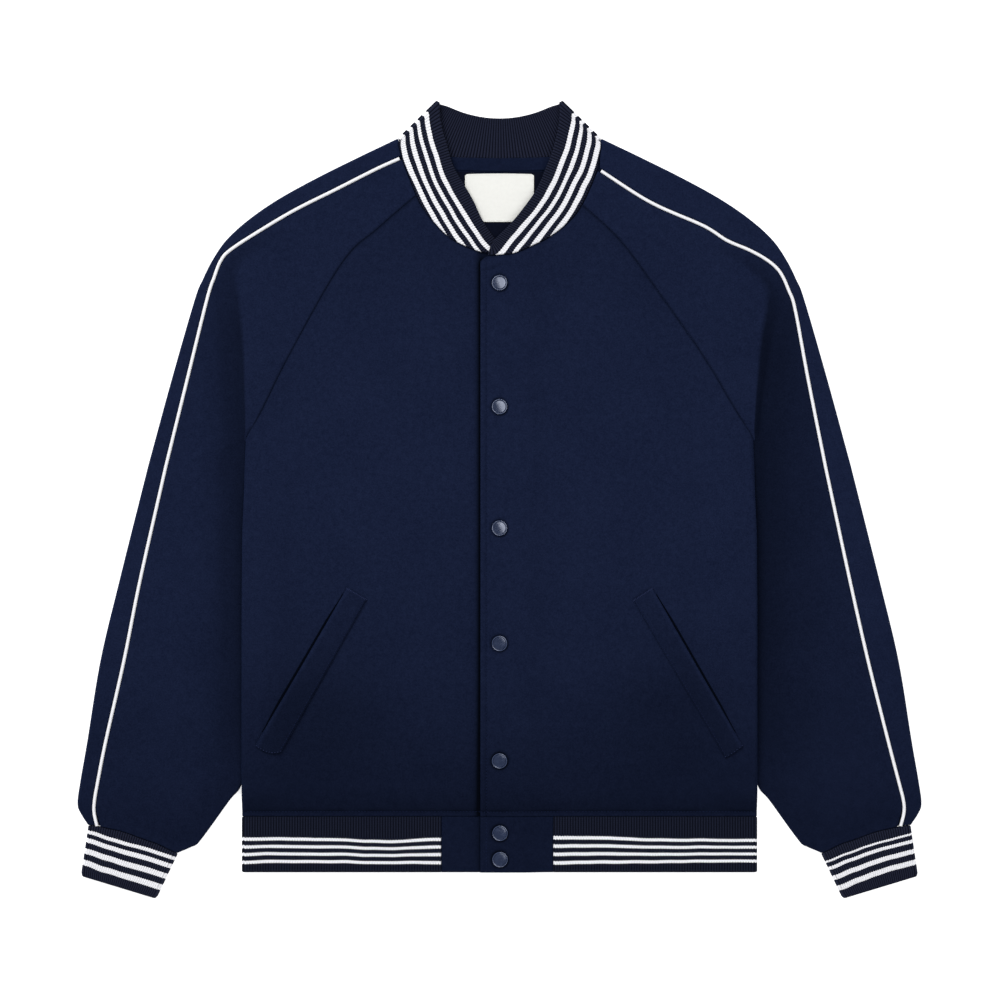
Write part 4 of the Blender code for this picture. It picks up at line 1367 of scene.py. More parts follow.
    def puckers(self, x: Array, y: Array, start: float) -> Array:
        """Small gathers where the cloth is eased onto the hem band.

        Args:
            x: Places across the garment.
            y: Places up the garment.
            start: What makes one panel's gathers unlike another's.

        Returns:
            The lift at each.
        """
        above = y - HEM_SEAM
        fade = np.exp(-above / self.pucker_reach) * smooth(above, 0, 3)
        return self.pucker * fade * uneven(x + 0.12 * above, self.pucker_pitch, start)

    def front(self, side: Side) -> Object:
        """Build one front panel, from its edge to the side seam.

        Args:
            side: The wearer's side.

        Returns:
            The panel.
        """
        sign, lapped = side.value, side is Side.LEFT
        seam, raglan = neck_seam(sign).shifted(-NECK_GAP), PlanLine(RAGLAN[sign]).shifted(GAP)
        corner = raglan.points[0, 0]
        edge = FRONT_EDGE[sign]
        stitch = edge + PLACKET_STITCH
        top_side = float(side_centre(np.array(UNDERARM)))
        stops = (edge, stitch - self.groove, stitch, stitch + self.groove, corner, top_side)
        flat_outs = marks(stops, self.step)[: -len(EDGE_RING) - 1]
        if lapped:
            near = np.append(self.fine_steps, (stitch - self.groove / 2, stitch + self.groove / 2))
        else:
            near = -FRONT_EDGE[1] + np.array(self.overlap_steps)
        flat_outs = refined(flat_outs, near, self.columns_apart)
        turns = np.linspace(0, 1, self.side_steps + 1)
        outs = np.concatenate([flat_outs, np.full(len(turns), top_side)])
        turn = np.concatenate([np.zeros(len(flat_outs)), turns])[None, :] * TURN
        share = (outs - edge) / (top_side - edge)
        top = np.where(outs < corner, seam.y_at(outs), raglan.y_at(outs))
        top = top + self.armpit_lap * smooth(outs, self.armpit_from, top_side)
        top = top - self.armpit_fall * np.sin(turn[0])
        if lapped:
            drop = np.clip((self.corner_from - outs) / (self.corner_from - edge), 0, 1) ** 2
            top = top - self.corner_drop * drop
        y = self.levels(top, [height for height in SNAP_HEIGHTS if height > HEM_SEAM] if lapped else ())
        out = edge + share[None, :] * (side_centre(y) - edge)
        z = front_height(out, y, lapped)
        radius = side_radius(y)
        z += np.cos(turn) * self.relief(side, out, y)
        z -= self.stitch_sink * hump(y, self.groove, HEM_STITCH)
        if lapped:
            z -= self.stitch_sink * hump(out, self.groove, stitch)
        # Painted shade: the front's own, and a line of it just below the neck and raglan seams
        below_seam = (top[None, :] - y) * np.where(outs < corner, 1.0, self.raglan_spread)
        pressed = self.front_pressed(side, out, y) + SEAM_SHADE * hump(below_seam, SEAM_REACH)
        out = out + radius * np.sin(turn)
        z = z - radius * (1 - np.cos(turn))
        middle = np.stack([sign * out, y, z], axis=-1)
        wall = Wall(f"wool_front_{side.word}", middle, "wool", out, y, shown=sign, fanned=True,
                    pressed=np.clip(pressed, 0, 1),
                    edge=np.where(turn > self.seam_turn, SEAM_ROUND, EDGE_ROUND))
        return sewn_sheet(wall, f"front_{side.word}")

    def back(self) -> Object:
        """Build the back panel, which the jacket rests on, up to both side seams.

        Returns:
            The panel.
        """
        neck, raglan = PlanLine(BACK_NECK).shifted(-NECK_GAP), PlanLine(BACK_RAGLAN).shifted(GAP)
        corner = raglan.points[0, 0]
        top_side = float(side_centre(np.array(UNDERARM)))
        half = marks((0.0, corner, top_side), self.step)[len(EDGE_RING) + 1 : -len(EDGE_RING) - 1]
        turns = np.linspace(0, 1, self.side_steps + 1)
        outs = np.concatenate([half, np.full(len(turns), top_side)])
        outs = np.concatenate([-outs[::-1], [0.0], outs])
        turn = np.concatenate([np.zeros(len(half)), turns])
        turn = np.concatenate([turn[::-1], [0.0], turn])[None, :] * TURN
        away = np.abs(outs)
        top = np.where(away < corner, neck.y_at(away), raglan.y_at(away))
        y = self.levels(top)
        out = (away / top_side)[None, :] * side_centre(y)
        sign = np.sign(outs)[None, :]
        z = back_height(out, y)
        # Everything is lifted, nothing sunk, as the panel lies on the floor
        swell = self.back_swell * (1 + uneven(outs[None, :] + y, self.back_swell_pitch, 1))
        lift = np.maximum(creased(self.back_creases, sign * out, y), 0) + swell
        gathers = self.pucker * (1 + uneven(outs[None, :], self.pucker_pitch, 3))
        lift = lift + gathers * np.exp(-(y - HEM_SEAM) / self.back_pucker_reach)
        z += np.cos(turn) * lift * smooth(240 - y, 0, 40) * smooth(y, HEM_SEAM, HEM_SEAM + 3)
        z += self.stitch_sink * hump(y, self.back_groove, HEM_STITCH) * np.cos(turn)
        radius = side_radius(y)
        x = sign * (out + radius * np.sin(turn))
        middle = np.stack([x, y, z + radius * (1 - np.cos(turn))], axis=-1)
        wall = Wall("wool_back", middle, "wool", outs[None, :] + 0 * y, y, shown=-1,
                    edge=np.where(turn > self.seam_turn, SEAM_ROUND, EDGE_ROUND), fanned=True)
        return sewn_sheet(wall, "back")


# Sleeves


@dataclass
class Sleeve:
    """One raglan sleeve: its top and bottom halves and the corded piping between them.

    A station runs along it from 0 at the neck to 1 at underarm level and 2 at the cuff. Across a half, u runs
    from 0 at the raglan seam, or under the body's side, to 1 at the piping. At arm the top half leaves the
    body, at under the bottom half leaves its turn, and from outer to over it turns up round the outer fold.
    """

    side: Side
    arm: float = 0.3
    under: float = 0.12
    outer: float = 0.5
    over: float = 0.8
    row_step: float = 2.3
    crown_reach: float = 34.0
    crease_from: float = 10.0
    crease_to: float = 16.0
    side_clearance: float = 1.5
    neck_station: float = 0.1
    back_start: float = 0.006
    join_from: float = 0.97
    gather: float = 0.5
    gather_pitch: float = 9.5
    # Stations from which the rows bow to the cuff's seam, and between which the gathers stand
    gather_from: float = 1.88
    gather_full: float = 1.97
    gather_end: float = 1.985
    piping_span: tuple[float, float] = (0.006, 1.99)
    piping_points: int = 420
    # Painted shade at distances from the fold beside the body, its fade by height, and painted shade towards
    # the cuff
    shade_beside_body = {
        -1: ((0, 0.52), (14, 0.38), (30, 0.15), (45, 0.05), (75, 0.0)),
        1: ((0, 0.68), (14, 0.55), (43, 0.36), (73, 0.24), (110, 0.16)),
    }
    beside_fade = ((-300, 0.3), (-180, 0.75), (-100, 1.0))
    shade_towards_cuff = ((-330, 0.35), (-250, 0.2), (-150, 0.08), (-100, 0.0))
    # Heights of the layers at stations: the fold beside the body, the crown, the piping and the outer fold
    fold_low = ((0.3, 6.0), (0.55, 5.2), (0.85, TUCKED_MID), (1.85, TUCKED_MID), (2.0, 5.3))
    crown = ((0.0, 5.8), (0.4, 6.8), (1.0, 7.2), (1.75, 7.2), (1.9, 8.2), (2.0, 5.4))
    piping_mid = ((0.0, 5.9), (0.3, 6.2), (1.0, 6.6), (1.9, 7.2), (2.0, 5.5))
    outer_edge = ((0.0, 6.2), (0.35, 5.6), (0.5, 5.0), (0.7, 5.6), (1.9, 6.4), (2.0, 5.4))
    # How far from the raglan seam the top half has risen to its own height
    step_width = ((0.3, 30.0), (0.6, 12.0), (1.0, 5.0), (2.0, 5.0))
    front_creases = {
        -1: (
            Crease((-256, 92), (-292, 28), 9, 0.8, 4), Crease((-258, 52), (-300, -40), 9, -0.7, 5),
            Crease((-262, 6), (-318, -74), 10, 0.8, 6), Crease((-300, 120), (-326, -30), 12, -0.6, -4),
            Crease((-336, -60), (-276, -106), 10, 0.8, 4), Crease((-352, -116), (-288, -150), 9, -0.7, 3),
            Crease((-338, -150), (-330, -262), 12, 0.7, 5), Crease((-366, -190), (-362, -292), 10, -0.7, -3),
            Crease((-300, -190), (-312, -300), 11, -0.6, 4), Crease((-276, -220), (-300, -310), 9, 0.7, -4),
            Crease((-262, 226), (-226, 246), 10, -0.6, 2), Crease((-196, 262), (-150, 236), 12, 0.5, -3),
            Crease((-130, 300), (-122, 278), 8, -0.5),
        ),
        1: (
            Crease((258, 100), (288, 36), 9, 0.8, -4), Crease((258, 60), (296, -30), 9, -0.7, -6),
            Crease((262, 14), (312, -60), 10, 0.8, -5), Crease((296, 130), (318, -20), 12, -0.6, 4),
            Crease((330, -70), (272, -96), 10, 0.7, -4), Crease((346, -100), (290, -150), 9, -0.7, -4),
            Crease((334, -140), (326, -250), 12, 0.7, -5), Crease((362, -200), (358, -296), 10, -0.7, 3),
            Crease((304, -200), (316, -306), 11, -0.6, -4), Crease((280, -214), (300, -300), 9, 0.7, 4),
            Crease((264, 216), (232, 238), 10, -0.6, -2), Crease((190, 256), (150, 226), 12, 0.5, 3),
        ),
    }
    back_creases = (
        Crease((262, 120), (312, 60), 12, 0.8, 5), Crease((268, 20), (330, -30), 11, 0.9, -4),
        Crease((300, -60), (366, -96), 12, 0.9, 5), Crease((276, -140), (352, -160), 11, 0.7, 4),
        Crease((330, -190), (384, -262), 12, 0.8, 4), Crease((290, -230), (320, -300), 10, 0.8, -4),
        Crease((170, 276), (214, 220), 14, 0.7, 5), Crease((360, -280), (350, -310), 9, 0.6),
    )

    def __post_init__(self) -> None:
        """Work out the sleeve's lines."""
        sign = self.side.value
        self.raglan = PlanLine(RAGLAN[sign]).shifted(GAP)
        self.back_raglan = PlanLine(BACK_RAGLAN).shifted(GAP)
        self.arm_fold = PlanLine(ARM_FOLD[sign])
        self.underarm = PlanLine(UNDERARM_FOLD)
        self.outer_lines = [PlanLine(part) for part in OUTER_FOLD]
        self.piping_lines = [PlanLine(part) for part in PIPING[sign]]
        self.seam = neck_seam(sign).shifted(-NECK_GAP - GAP / 2)
        self.back_neck = PlanLine(BACK_NECK).shifted(-NECK_GAP)
        self.cuff_line = np.array(UNDERARM_FOLD[-1]), np.array(OUTER_FOLD[1][-1])

    def build(self) -> dict[str, Object]:
        """Build both halves and the piping.

        Returns:
            Each one, by node name.
        """
        word = self.side.word
        return {
            f"sleeve_front_{word}": self.half("front", self.front_place, -self.side.value),
            f"sleeve_back_{word}": self.half("back", self.back_place, self.side.value),
            f"piping_{word}": self.piping(),
        }

    @staticmethod
    def on(lines: list[PlanLine], station: Array) -> Array:
        """The point of a two-part line at each station."""
        return np.where(station[..., None] < 1, lines[0].at(station), lines[1].at(station - 1))

    @staticmethod
    def outward(lines: list[PlanLine], station: Array) -> Array:
        """The outward unit normal of a two-part line at each station."""
        return np.where(station[..., None] < 1, lines[0].outward(station), lines[1].outward(station - 1))

    def underarm_turn(self, station: Array, towards: Array) -> tuple[Array, Array, Array]:
        """The turn of the sleeve's inner fold, which is tucked under the body's side.

        Args:
            station: Stations along the sleeve.
            towards: A point in plan inside the sleeve at each.

        Returns:
            The turn's edge in plan, its radius, and the way into the sleeve.
        """
        fold = self.underarm.at(station - 1)
        inward = towards - fold
        inward = inward / np.linalg.norm(inward, axis=-1, keepdims=True)
        radius = (eased(self.fold_low, station) - BACK_MID) / 2
        return fold + (radius + CLOTH / 2)[..., None] * inward, radius, inward

    def clear_of_neck(self, out: Array, y: Array, station: Array) -> Array:
        """How far out a point near the neck lies, kept outside the neck seam."""
        share = np.minimum(station / self.neck_station, 1)
        return np.where(share < 1, np.maximum(out, mix(self.seam.out_at(y), out, share)), out)

    def front_place(self, u: Array, station: Array) -> Array:
        """Middle points of the top half, from the raglan seam or the underarm turn to the piping.

        Args:
            u: Places across the half.
            station: Stations along it.

        Returns:
            The point at each.
        """
        pipe, early = self.on(self.piping_lines, station), station < 1
        turned, radius, inward = self.underarm_turn(station, pipe)
        fold = np.where(early[..., None], self.arm_fold.at(station), turned)
        edge = pipe - (PIPING_RADIUS + GAP) * self.outward(self.piping_lines, station)
        beyond = mix(fold, edge, np.clip((u - self.arm) / (1 - self.arm), 0, 1)[..., None])
        away, left = np.linalg.norm(beyond - fold, axis=-1), np.linalg.norm(edge - beyond, axis=-1)
        hidden = np.where(station > 1, np.maximum(HALF_BODY + self.side_clearance - fold[..., 0], 0), 0)
        low, crown = eased(self.fold_low, station), eased(self.crown, station)
        high = mix(low, crown, smooth(away - hidden, 0, self.crown_reach))
        high = mix(eased(self.piping_mid, station), high, smooth(left, 0, self.crown_reach))
        stepped = smooth(away, 0, eased(self.step_width, station))
        high = np.where(early, mix(front_height(fold[..., 0], fold[..., 1]), high, stepped), high)
        # Before the fold it lies on the body's front, or turns under the body's side
        part = np.clip(u / self.arm, 0, 1)
        flat = mix(self.raglan.at(station), fold, part[..., None])
        turn = TURN * (1 - part)
        tucked = fold - (radius * np.sin(turn))[..., None] * inward
        before = np.where(early[..., None], flat, tucked)
        tucked_high = BACK_MID + radius * (1 + np.cos(turn))
        before_high = np.where(early, front_height(flat[..., 0], flat[..., 1]), tucked_high)
        plan = np.where((u > self.arm)[..., None], beyond, before)
        z = np.where(u > self.arm, high, before_high)
        out = self.clear_of_neck(plan[..., 0], plan[..., 1], station)
        sign = self.side.value
        late = np.where(u > self.arm, smooth(away - hidden, 0, self.crease_from), 0.0)
        shown = np.where(early, 1.0, late)
        creases = creased(self.front_creases[sign], sign * out, plan[..., 1])
        z = z + shown * creases * smooth(left, 0, self.crease_to)
        return np.stack([out, plan[..., 1], z], axis=-1)

    def back_place(self, u: Array, station: Array) -> Array:
        """Middle points of the bottom half, round the outer fold and up to the piping.

        Args:
            u: Places across the half.
            station: Stations along it.

        Returns:
            The point at each.
        """
        outer, pipe = self.on(self.outer_lines, station), self.on(self.piping_lines, station)
        outward, early = self.outward(self.outer_lines, station), station < 1
        edge_high = eased(self.outer_edge, station)
        radius = (edge_high - BACK_MID) / 2
        centre = outer - (radius + CLOTH / 2)[..., None] * outward
        edge = pipe + (PIPING_RADIUS + GAP) * self.outward(self.piping_lines, station)
        # Above: from the outer fold to the piping, and the fold's own half turn
        part = np.clip((u - self.over) / (1 - self.over), 0, 1)
        upper = mix(centre, edge, part[..., None])
        upper_out = self.clear_of_neck(upper[..., 0], upper[..., 1], station)
        upper = np.stack([upper_out, upper[..., 1]], axis=-1)
        upper_high = mix(edge_high, eased(self.piping_mid, station), part)
        turn = math.pi * np.clip((u - self.outer) / (self.over - self.outer), 0, 1)
        rounded = centre + (radius * np.sin(turn))[..., None] * outward
        rounded_high = BACK_MID + radius * (1 - np.cos(turn))
        # Below, down to underarm level: from the back's raglan seam, kept below the neck's seam
        seam = self.back_raglan.at(self.back_start + (1 - self.back_start) * station)
        flat = mix(seam, centre, np.clip(u / self.outer, 0, 1)[..., None])
        share = np.minimum(station / self.neck_station, 1)
        neck_y = mix(self.back_neck.y_at(flat[..., 0]), flat[..., 1], share)
        flat_y = np.where(share < 1, np.minimum(flat[..., 1], neck_y), flat[..., 1])
        flat = np.stack([flat[..., 0], flat_y], axis=-1)
        # Below, from there to the cuff: from the turn under the body's side
        fold, fold_radius, inward = self.underarm_turn(station, pipe)
        level = mix(fold, centre, np.clip((u - self.under) / (self.outer - self.under), 0, 1)[..., None])
        tuck = TURN * (1 - np.clip(u / self.under, 0, 1))
        tucked = fold - (fold_radius * np.sin(tuck))[..., None] * inward
        late = np.where((u > self.under)[..., None], level, tucked)
        late_high = np.where(u > self.under, BACK_MID, BACK_MID + fold_radius * (1 - np.cos(tuck)))
        plan = np.where(early[..., None], flat, late)
        z = np.where(early, BACK_MID, late_high)
        rim = np.linalg.norm(plan - centre, axis=-1)
        resting = (early | (u > self.under)) & (u <= self.outer)
        lift = np.maximum(creased(self.back_creases, plan[..., 0], plan[..., 1]), 0)
        z = z + np.where(resting, lift * smooth(rim, 0, 20) * smooth(station, 0.1, 0.3), 0)
        plan = np.where((u > self.outer)[..., None], rounded, plan)
        plan = np.where((u > self.over)[..., None], upper, plan)
        z = np.where(u > self.over, upper_high, np.where(u > self.outer, rounded_high, z))
        return np.concatenate([plan, z[..., None]], axis=-1)

    def gathered(self, points: Array, station: Array, high: Array) -> Array:
        """Points near the cuff, bowed to its seam and eased into small gathers.

        Args:
            points: Middle points, with the last row at the cuff.
            station: The station of each.
            high: Whether each lies in the upper layer.

        Returns:
            The moved points.
        """
        inner, outer = self.cuff_line
        way = (outer - inner) / np.linalg.norm(outer - inner)
        upward = np.array([-way[1], way[0]])
        plan = points[..., :2] - inner
        run, above = plan @ way, plan[-1] @ upward
        share = run / np.linalg.norm(outer - inner)
        move = (cuff_bow(share[-1]) + GAP - above) * smooth(station, self.gather_from, 2.0)
        gather = self.gather * uneven(run, self.gather_pitch, 1 + self.side.value)
        gather = gather * smooth(station, self.gather_from, self.gather_full)
        gather = gather * (1 - smooth(station, self.gather_end, 2.0))
        out = points + np.concatenate([move[..., None] * upward, np.zeros((*move.shape, 1))], axis=-1)
        out[..., 2] += np.where(high, gather, np.maximum(gather, 0))
        return out

    def grid(self, top: bool) -> tuple[Array, Array]:
        """Where a half's middle points lie, with closer rows at its ends and at its folds.

        Args:
            top: Set for the top half.

        Returns:
            Each column's place across, and each row's station.
        """
        upper, lower = self.outer_lines[0].length, self.outer_lines[1].length
        stations = np.unique(np.concatenate([
            shares_of(upper, self.row_step)[: -len(EDGE_RING) - 1],
            [self.join_from, 0.98, 0.99, 1.0],
            marks((1.0, 2.0), self.row_step / lower, scale=1 / lower)[len(EDGE_RING) :],
        ]))
        if top:
            before = marks((0.0, self.arm), 0.012, scale=0.007)[: -len(EDGE_RING) - 1]
            after = marks((self.arm, 1.0), 0.012, scale=0.0075)[len(EDGE_RING) + 1 :]
            parts = [before, self.arm + np.array([0, 0.006, 0.012]), after]
        else:
            after = marks((self.over, 1.0), 0.02, scale=0.02)[len(EDGE_RING) + 1 :]
            parts = [np.linspace(0, self.under, 8)[:-1], np.linspace(self.under, self.outer, 40)[:-1],
                     np.linspace(self.outer, self.over, 12)[:-1], [self.over], after]
        return np.unique(np.concatenate(parts))[None, :], stations[:, None]

    def top_painted_shade(self, u: Array, stations: Array, points: Array, across: Array) -> Array:
        """The painted shade of the top half beside the body and at the raglan seam.

        Args:
            u: Each point's place across the half.
            stations: Its station.
            points: The middle points.
            across: Their distances from the half's first edge.

        Returns:
            What it adds at each point.
        """
        fold = self.arm_fold.at(np.minimum(stations, 1))
        body_edge = np.where(stations < 1, fold[..., 0], HALF_BODY)
        beside = eased(self.shade_beside_body[self.side.value], np.maximum(points[..., 0] - body_edge, 0))
        beside = beside * smooth(stations, 0.3, 0.75)
        beside = beside * np.where(stations < 1, smooth(u, self.arm - 0.02, self.arm), 1.0)
        seam = np.where(stations < 1, SEAM_SHADE * hump(across, SEAM_REACH), 0)
        return beside * eased(self.beside_fade, points[..., 1]) + seam

    def half(self, word: str, place: Callable[[Array, Array], Array], shown: int) -> Object:
        """Build one half.

        Args:
            word: Which half: front or back.
            place: Its function from places across and stations to middle points.
            shown: The side of its middle surface that is seen.

        Returns:
            The half.
        """
        top = word == "front"
        u, stations = np.broadcast_arrays(*self.grid(top))
        # The part below the underarm starts anew there, so the two are joined over a short way
        share = np.clip((stations - self.join_from) / (1 - self.join_from), 0, 1)
        start, end = place(u, np.minimum(stations, self.join_from)), place(u, np.maximum(stations, 1))
        points = mix(start, end, share[..., None])
        points = self.gathered(points, stations, points[..., 2] > CLOTH)
        along = stations * self.outer_lines[0].length
        steps = np.linalg.norm(np.diff(points, axis=1), axis=-1)
        across = np.concatenate([np.zeros((len(points), 1)), np.cumsum(steps, axis=1)], axis=1)
        # Painted shade: darker towards the cuff, and on the top half beside the body and at its seam
        pressed = eased(self.shade_towards_cuff, points[..., 1])
        if top:
            pressed = pressed + self.top_painted_shade(u, stations, points, across)
        points[..., 0] *= self.side.value
        edge = np.where((stations >= 1) & (u < 0.02), SEAM_ROUND, EDGE_ROUND)
        name = f"wool_sleeve_{word}_{self.side.word}"
        wall = Wall(name, points, "wool", across, along, shown=shown, edge=edge,
                    pressed=np.clip(pressed, 0, 1))
        return sewn_sheet(wall, f"sleeve_{word}_{self.side.word}")

    def piping(self) -> Object:
        """Build the corded piping in the over-arm seam, a little proud of both halves.

        Returns:
            The piping.
        """
        station = np.linspace(*self.piping_span, self.piping_points)
        plan = self.on(self.piping_lines, station)
        points = np.column_stack([plan, eased(self.piping_mid, station) + PIPING_PROUD])
        points = self.gathered(points, station, np.full(station.shape, True))
        points[:, 0] *= self.side.value
        obj = line_object(f"corded_piping_{self.side.word}", [points])
        values = {"Radius": PIPING_RADIUS * MM, "Material": WARDROBE.material("piping")}
        return dress(grown(obj, "cord_tree", values), (f"piping_{self.side.word}",))


# Rib-knit bands


@dataclass
class Collar:
    """The striped collar band: its fronts lie over the neck, its back shows its inner face.

    A section of it is a row of numbers, as in the collar's table: two points, then how its stripes lie.
    """

    peak_radius: float = 3.0
    seam_radius: float = 2.6
    dip: float = 373.4
    back_shares: tuple[float, ...] = (0.82, 0.6, 0.4, 0.2)
    back_spread: float = 0.12
    middle_stripe: float = 27.7
    # At each side fold, how far the stripes lie down, and their spacing
    fold_stripes = {-1: (6.0, 1.2), 1: (7.3, 1.14)}
    per_rib: int = 6
    row_step: float = 2.4

    def stations(self) -> Array:
        """The band's sections from its right end to its left end, with the turns at both side folds.

        Returns:
            One row for each section.
        """
        peak, side = np.array(COLLAR_PEAK), np.array(COLLAR_SIDE)
        way = (side - peak) / np.linalg.norm(side - peak)
        outward = np.array([-way[1], way[0]])
        folds = []
        for turn in np.radians((90, 45, 0, -45, -90)):
            row = []
            for corner, radius in ((peak, self.peak_radius), (side, self.seam_radius)):
                plan = corner + (radius * math.cos(turn) - radius - RIB_BAND / 2) * outward
                row += [plan[0], plan[1], RIB_BACK_MID + radius * (1 + math.sin(turn))]
            folds.append([*row, 0, 1])
        neck = PlanLine(BACK_NECK)
        back = []
        for share in self.back_shares:
            seam_out = share * side[0] * (1 - self.back_spread * (1 - share))
            seam_y = float(neck.y_at(seam_out))
            arc = self.dip + (peak[1] - self.dip) * share**2
            back.append([share * peak[0], arc, RIB_BACK_MID, seam_out, seam_y, RIB_BACK_MID, 0, 1])
        centre = [0, self.dip, RIB_BACK_MID, 0, BACK_NECK[0][1], RIB_BACK_MID, 0, 1]
        halves = []
        for sign in (-1, 1):
            rows = np.array([*reversed(COLLAR[sign]), *folds, *back])
            rows[:, [0, 3]] *= sign
            first = len(COLLAR[sign])
            rows[first : first + len(folds), 6:] = self.fold_stripes[sign]
            halves.append(rows)
        return np.vstack([halves[0], [centre], halves[1][::-1]])

    def build(self) -> Object:
        """Build the band, with wales on both faces where its back shows the inner one.

        Returns:
            The collar.
        """
        rows = curve_through(self.stations())
        run = runs((rows[:, :3] + rows[:, 3:6]) / 2)
        count = round(run[-1] / RIB_PITCH) * self.per_rib
        at = marks((0.0, run[-1]), run[-1] / count)
        sections = np.stack([np.interp(at, run, column) for column in rows.T], axis=-1)
        top, seam, shift, spread = sections[:, :3], sections[:, 3:6], sections[:, 6], sections[:, 7]
        depth = np.linalg.norm(top - seam, axis=1)
        down = shares_of(depth.max(), self.row_step)[::-1]
        middle = mix(top[None, :, :], seam[None, :, :], down[:, None, None])
        inner = np.where(middle[..., 2] < RIB_BACK_MID + 0.05, 1.0, 0.0)
        from_top = down[:, None] * depth[None, :]
        along = self.middle_stripe + (from_top - self.middle_stripe - shift) / spread
        across = np.repeat(at[None, :], len(down), axis=0)
        wall = Wall("rib_collar", middle, "collar_rib", across, along, RIB_BAND, shown=-1, coarse=1,
                    outer=1.0, inner=inner, edge=1.2)
        return sewn_sheet(wall, "collar")


@dataclass
class HemBand:
    """The striped hem band, in one length from tab to tab round the back.

    Its stripes sway a little: sway and spread give the shift and the spacing of the front's at places across.
    """

    per_rib: int = 6
    row_step: float = 3.6
    middle_stripe: float = 20.8
    sway = ((-252, -0.4), (-223, -1.2), (-199, -1.0), (-152, -0.5), (-129, 0.5), (-105, 1.0), (-82, 0.2),
            (-58, -0.3), (57, -0.9), (92, -1.3), (128, -0.9), (151, -0.4), (175, -0.4), (198, -0.8),
            (252, -0.6))
    spread = ((-252, 0.95), (-200, 0.98), (-150, 1.02), (-100, 1.04), (-62, 0.95), (57, 0.87), (81, 0.89),
              (104, 0.93), (151, 1.0), (198, 1.05), (252, 1.06))
    swell: float = 0.35

    def build(self) -> Object:
        """Build the band round its two side folds.

        Returns:
            The band.
        """
        radius = (RIB_FRONT_MID - RIB_BACK_MID) / 2
        centre = HALF_BODY - RIB_BAND / 2 - radius
        right, left = TAB_ENDS[-1][0] - GAP, TAB_ENDS[1][1] + GAP
        quarter = math.pi * radius
        stops = np.cumsum([0, centre + right, quarter, 2 * centre, quarter, centre - left])
        count = round(stops[-1] / RIB_PITCH) * self.per_rib
        at = marks((0.0, float(stops[-1])), stops[-1] / count)
        first, second = (at - stops[1]) / radius, (at - stops[3]) / radius
        parts = [at < stops[1], at < stops[2], at < stops[3], at < stops[4]]
        x_parts = [right - at, -centre - radius * np.sin(first), at - stops[2] - centre,
                   centre + radius * np.sin(second)]
        x = np.select(parts, x_parts, centre - (at - stops[4]))
        z_parts = [0 * at + RIB_FRONT_MID, RIB_BACK_MID + radius * (1 + np.cos(first)), 0 * at + RIB_BACK_MID,
                   RIB_BACK_MID + radius * (1 - np.cos(second))]
        z = np.select(parts, z_parts, RIB_FRONT_MID)
        y = marks((HEM_END, HEM_SEAM - GAP), self.row_step)[::-1]
        top = (z > RIB_FRONT_MID - 0.5)[None, :]
        swell = self.swell * np.sin(math.pi * (y - HEM_END) / (HEM_SEAM - HEM_END))[:, None]
        swell = swell * (1 + uneven(x, 62, 1))[None, :]
        z_all = z[None, :] + np.where(top, swell, 0)
        middle = np.stack(np.broadcast_arrays(x[None, :], y[:, None], z_all), axis=-1)
        front = smooth(z, RIB_BACK_MID + 1, RIB_FRONT_MID - 1)
        sway = mix(0.7 * uneven(x, 150, 2), eased(self.sway, x), front)
        spread = mix(1.0, eased(self.spread, x), front)
        from_middle = (y - HEM_END)[:, None] - self.middle_stripe + sway[None, :]
        along = self.middle_stripe + from_middle * spread[None, :]
        across = np.repeat(at[None, :], len(y), axis=0)
        wall = Wall("rib_hem", middle, "hem_rib", across, along, RIB_BAND, shown=1, outer=1.0, edge=1.2)
        return sewn_sheet(wall, "hem_rib")


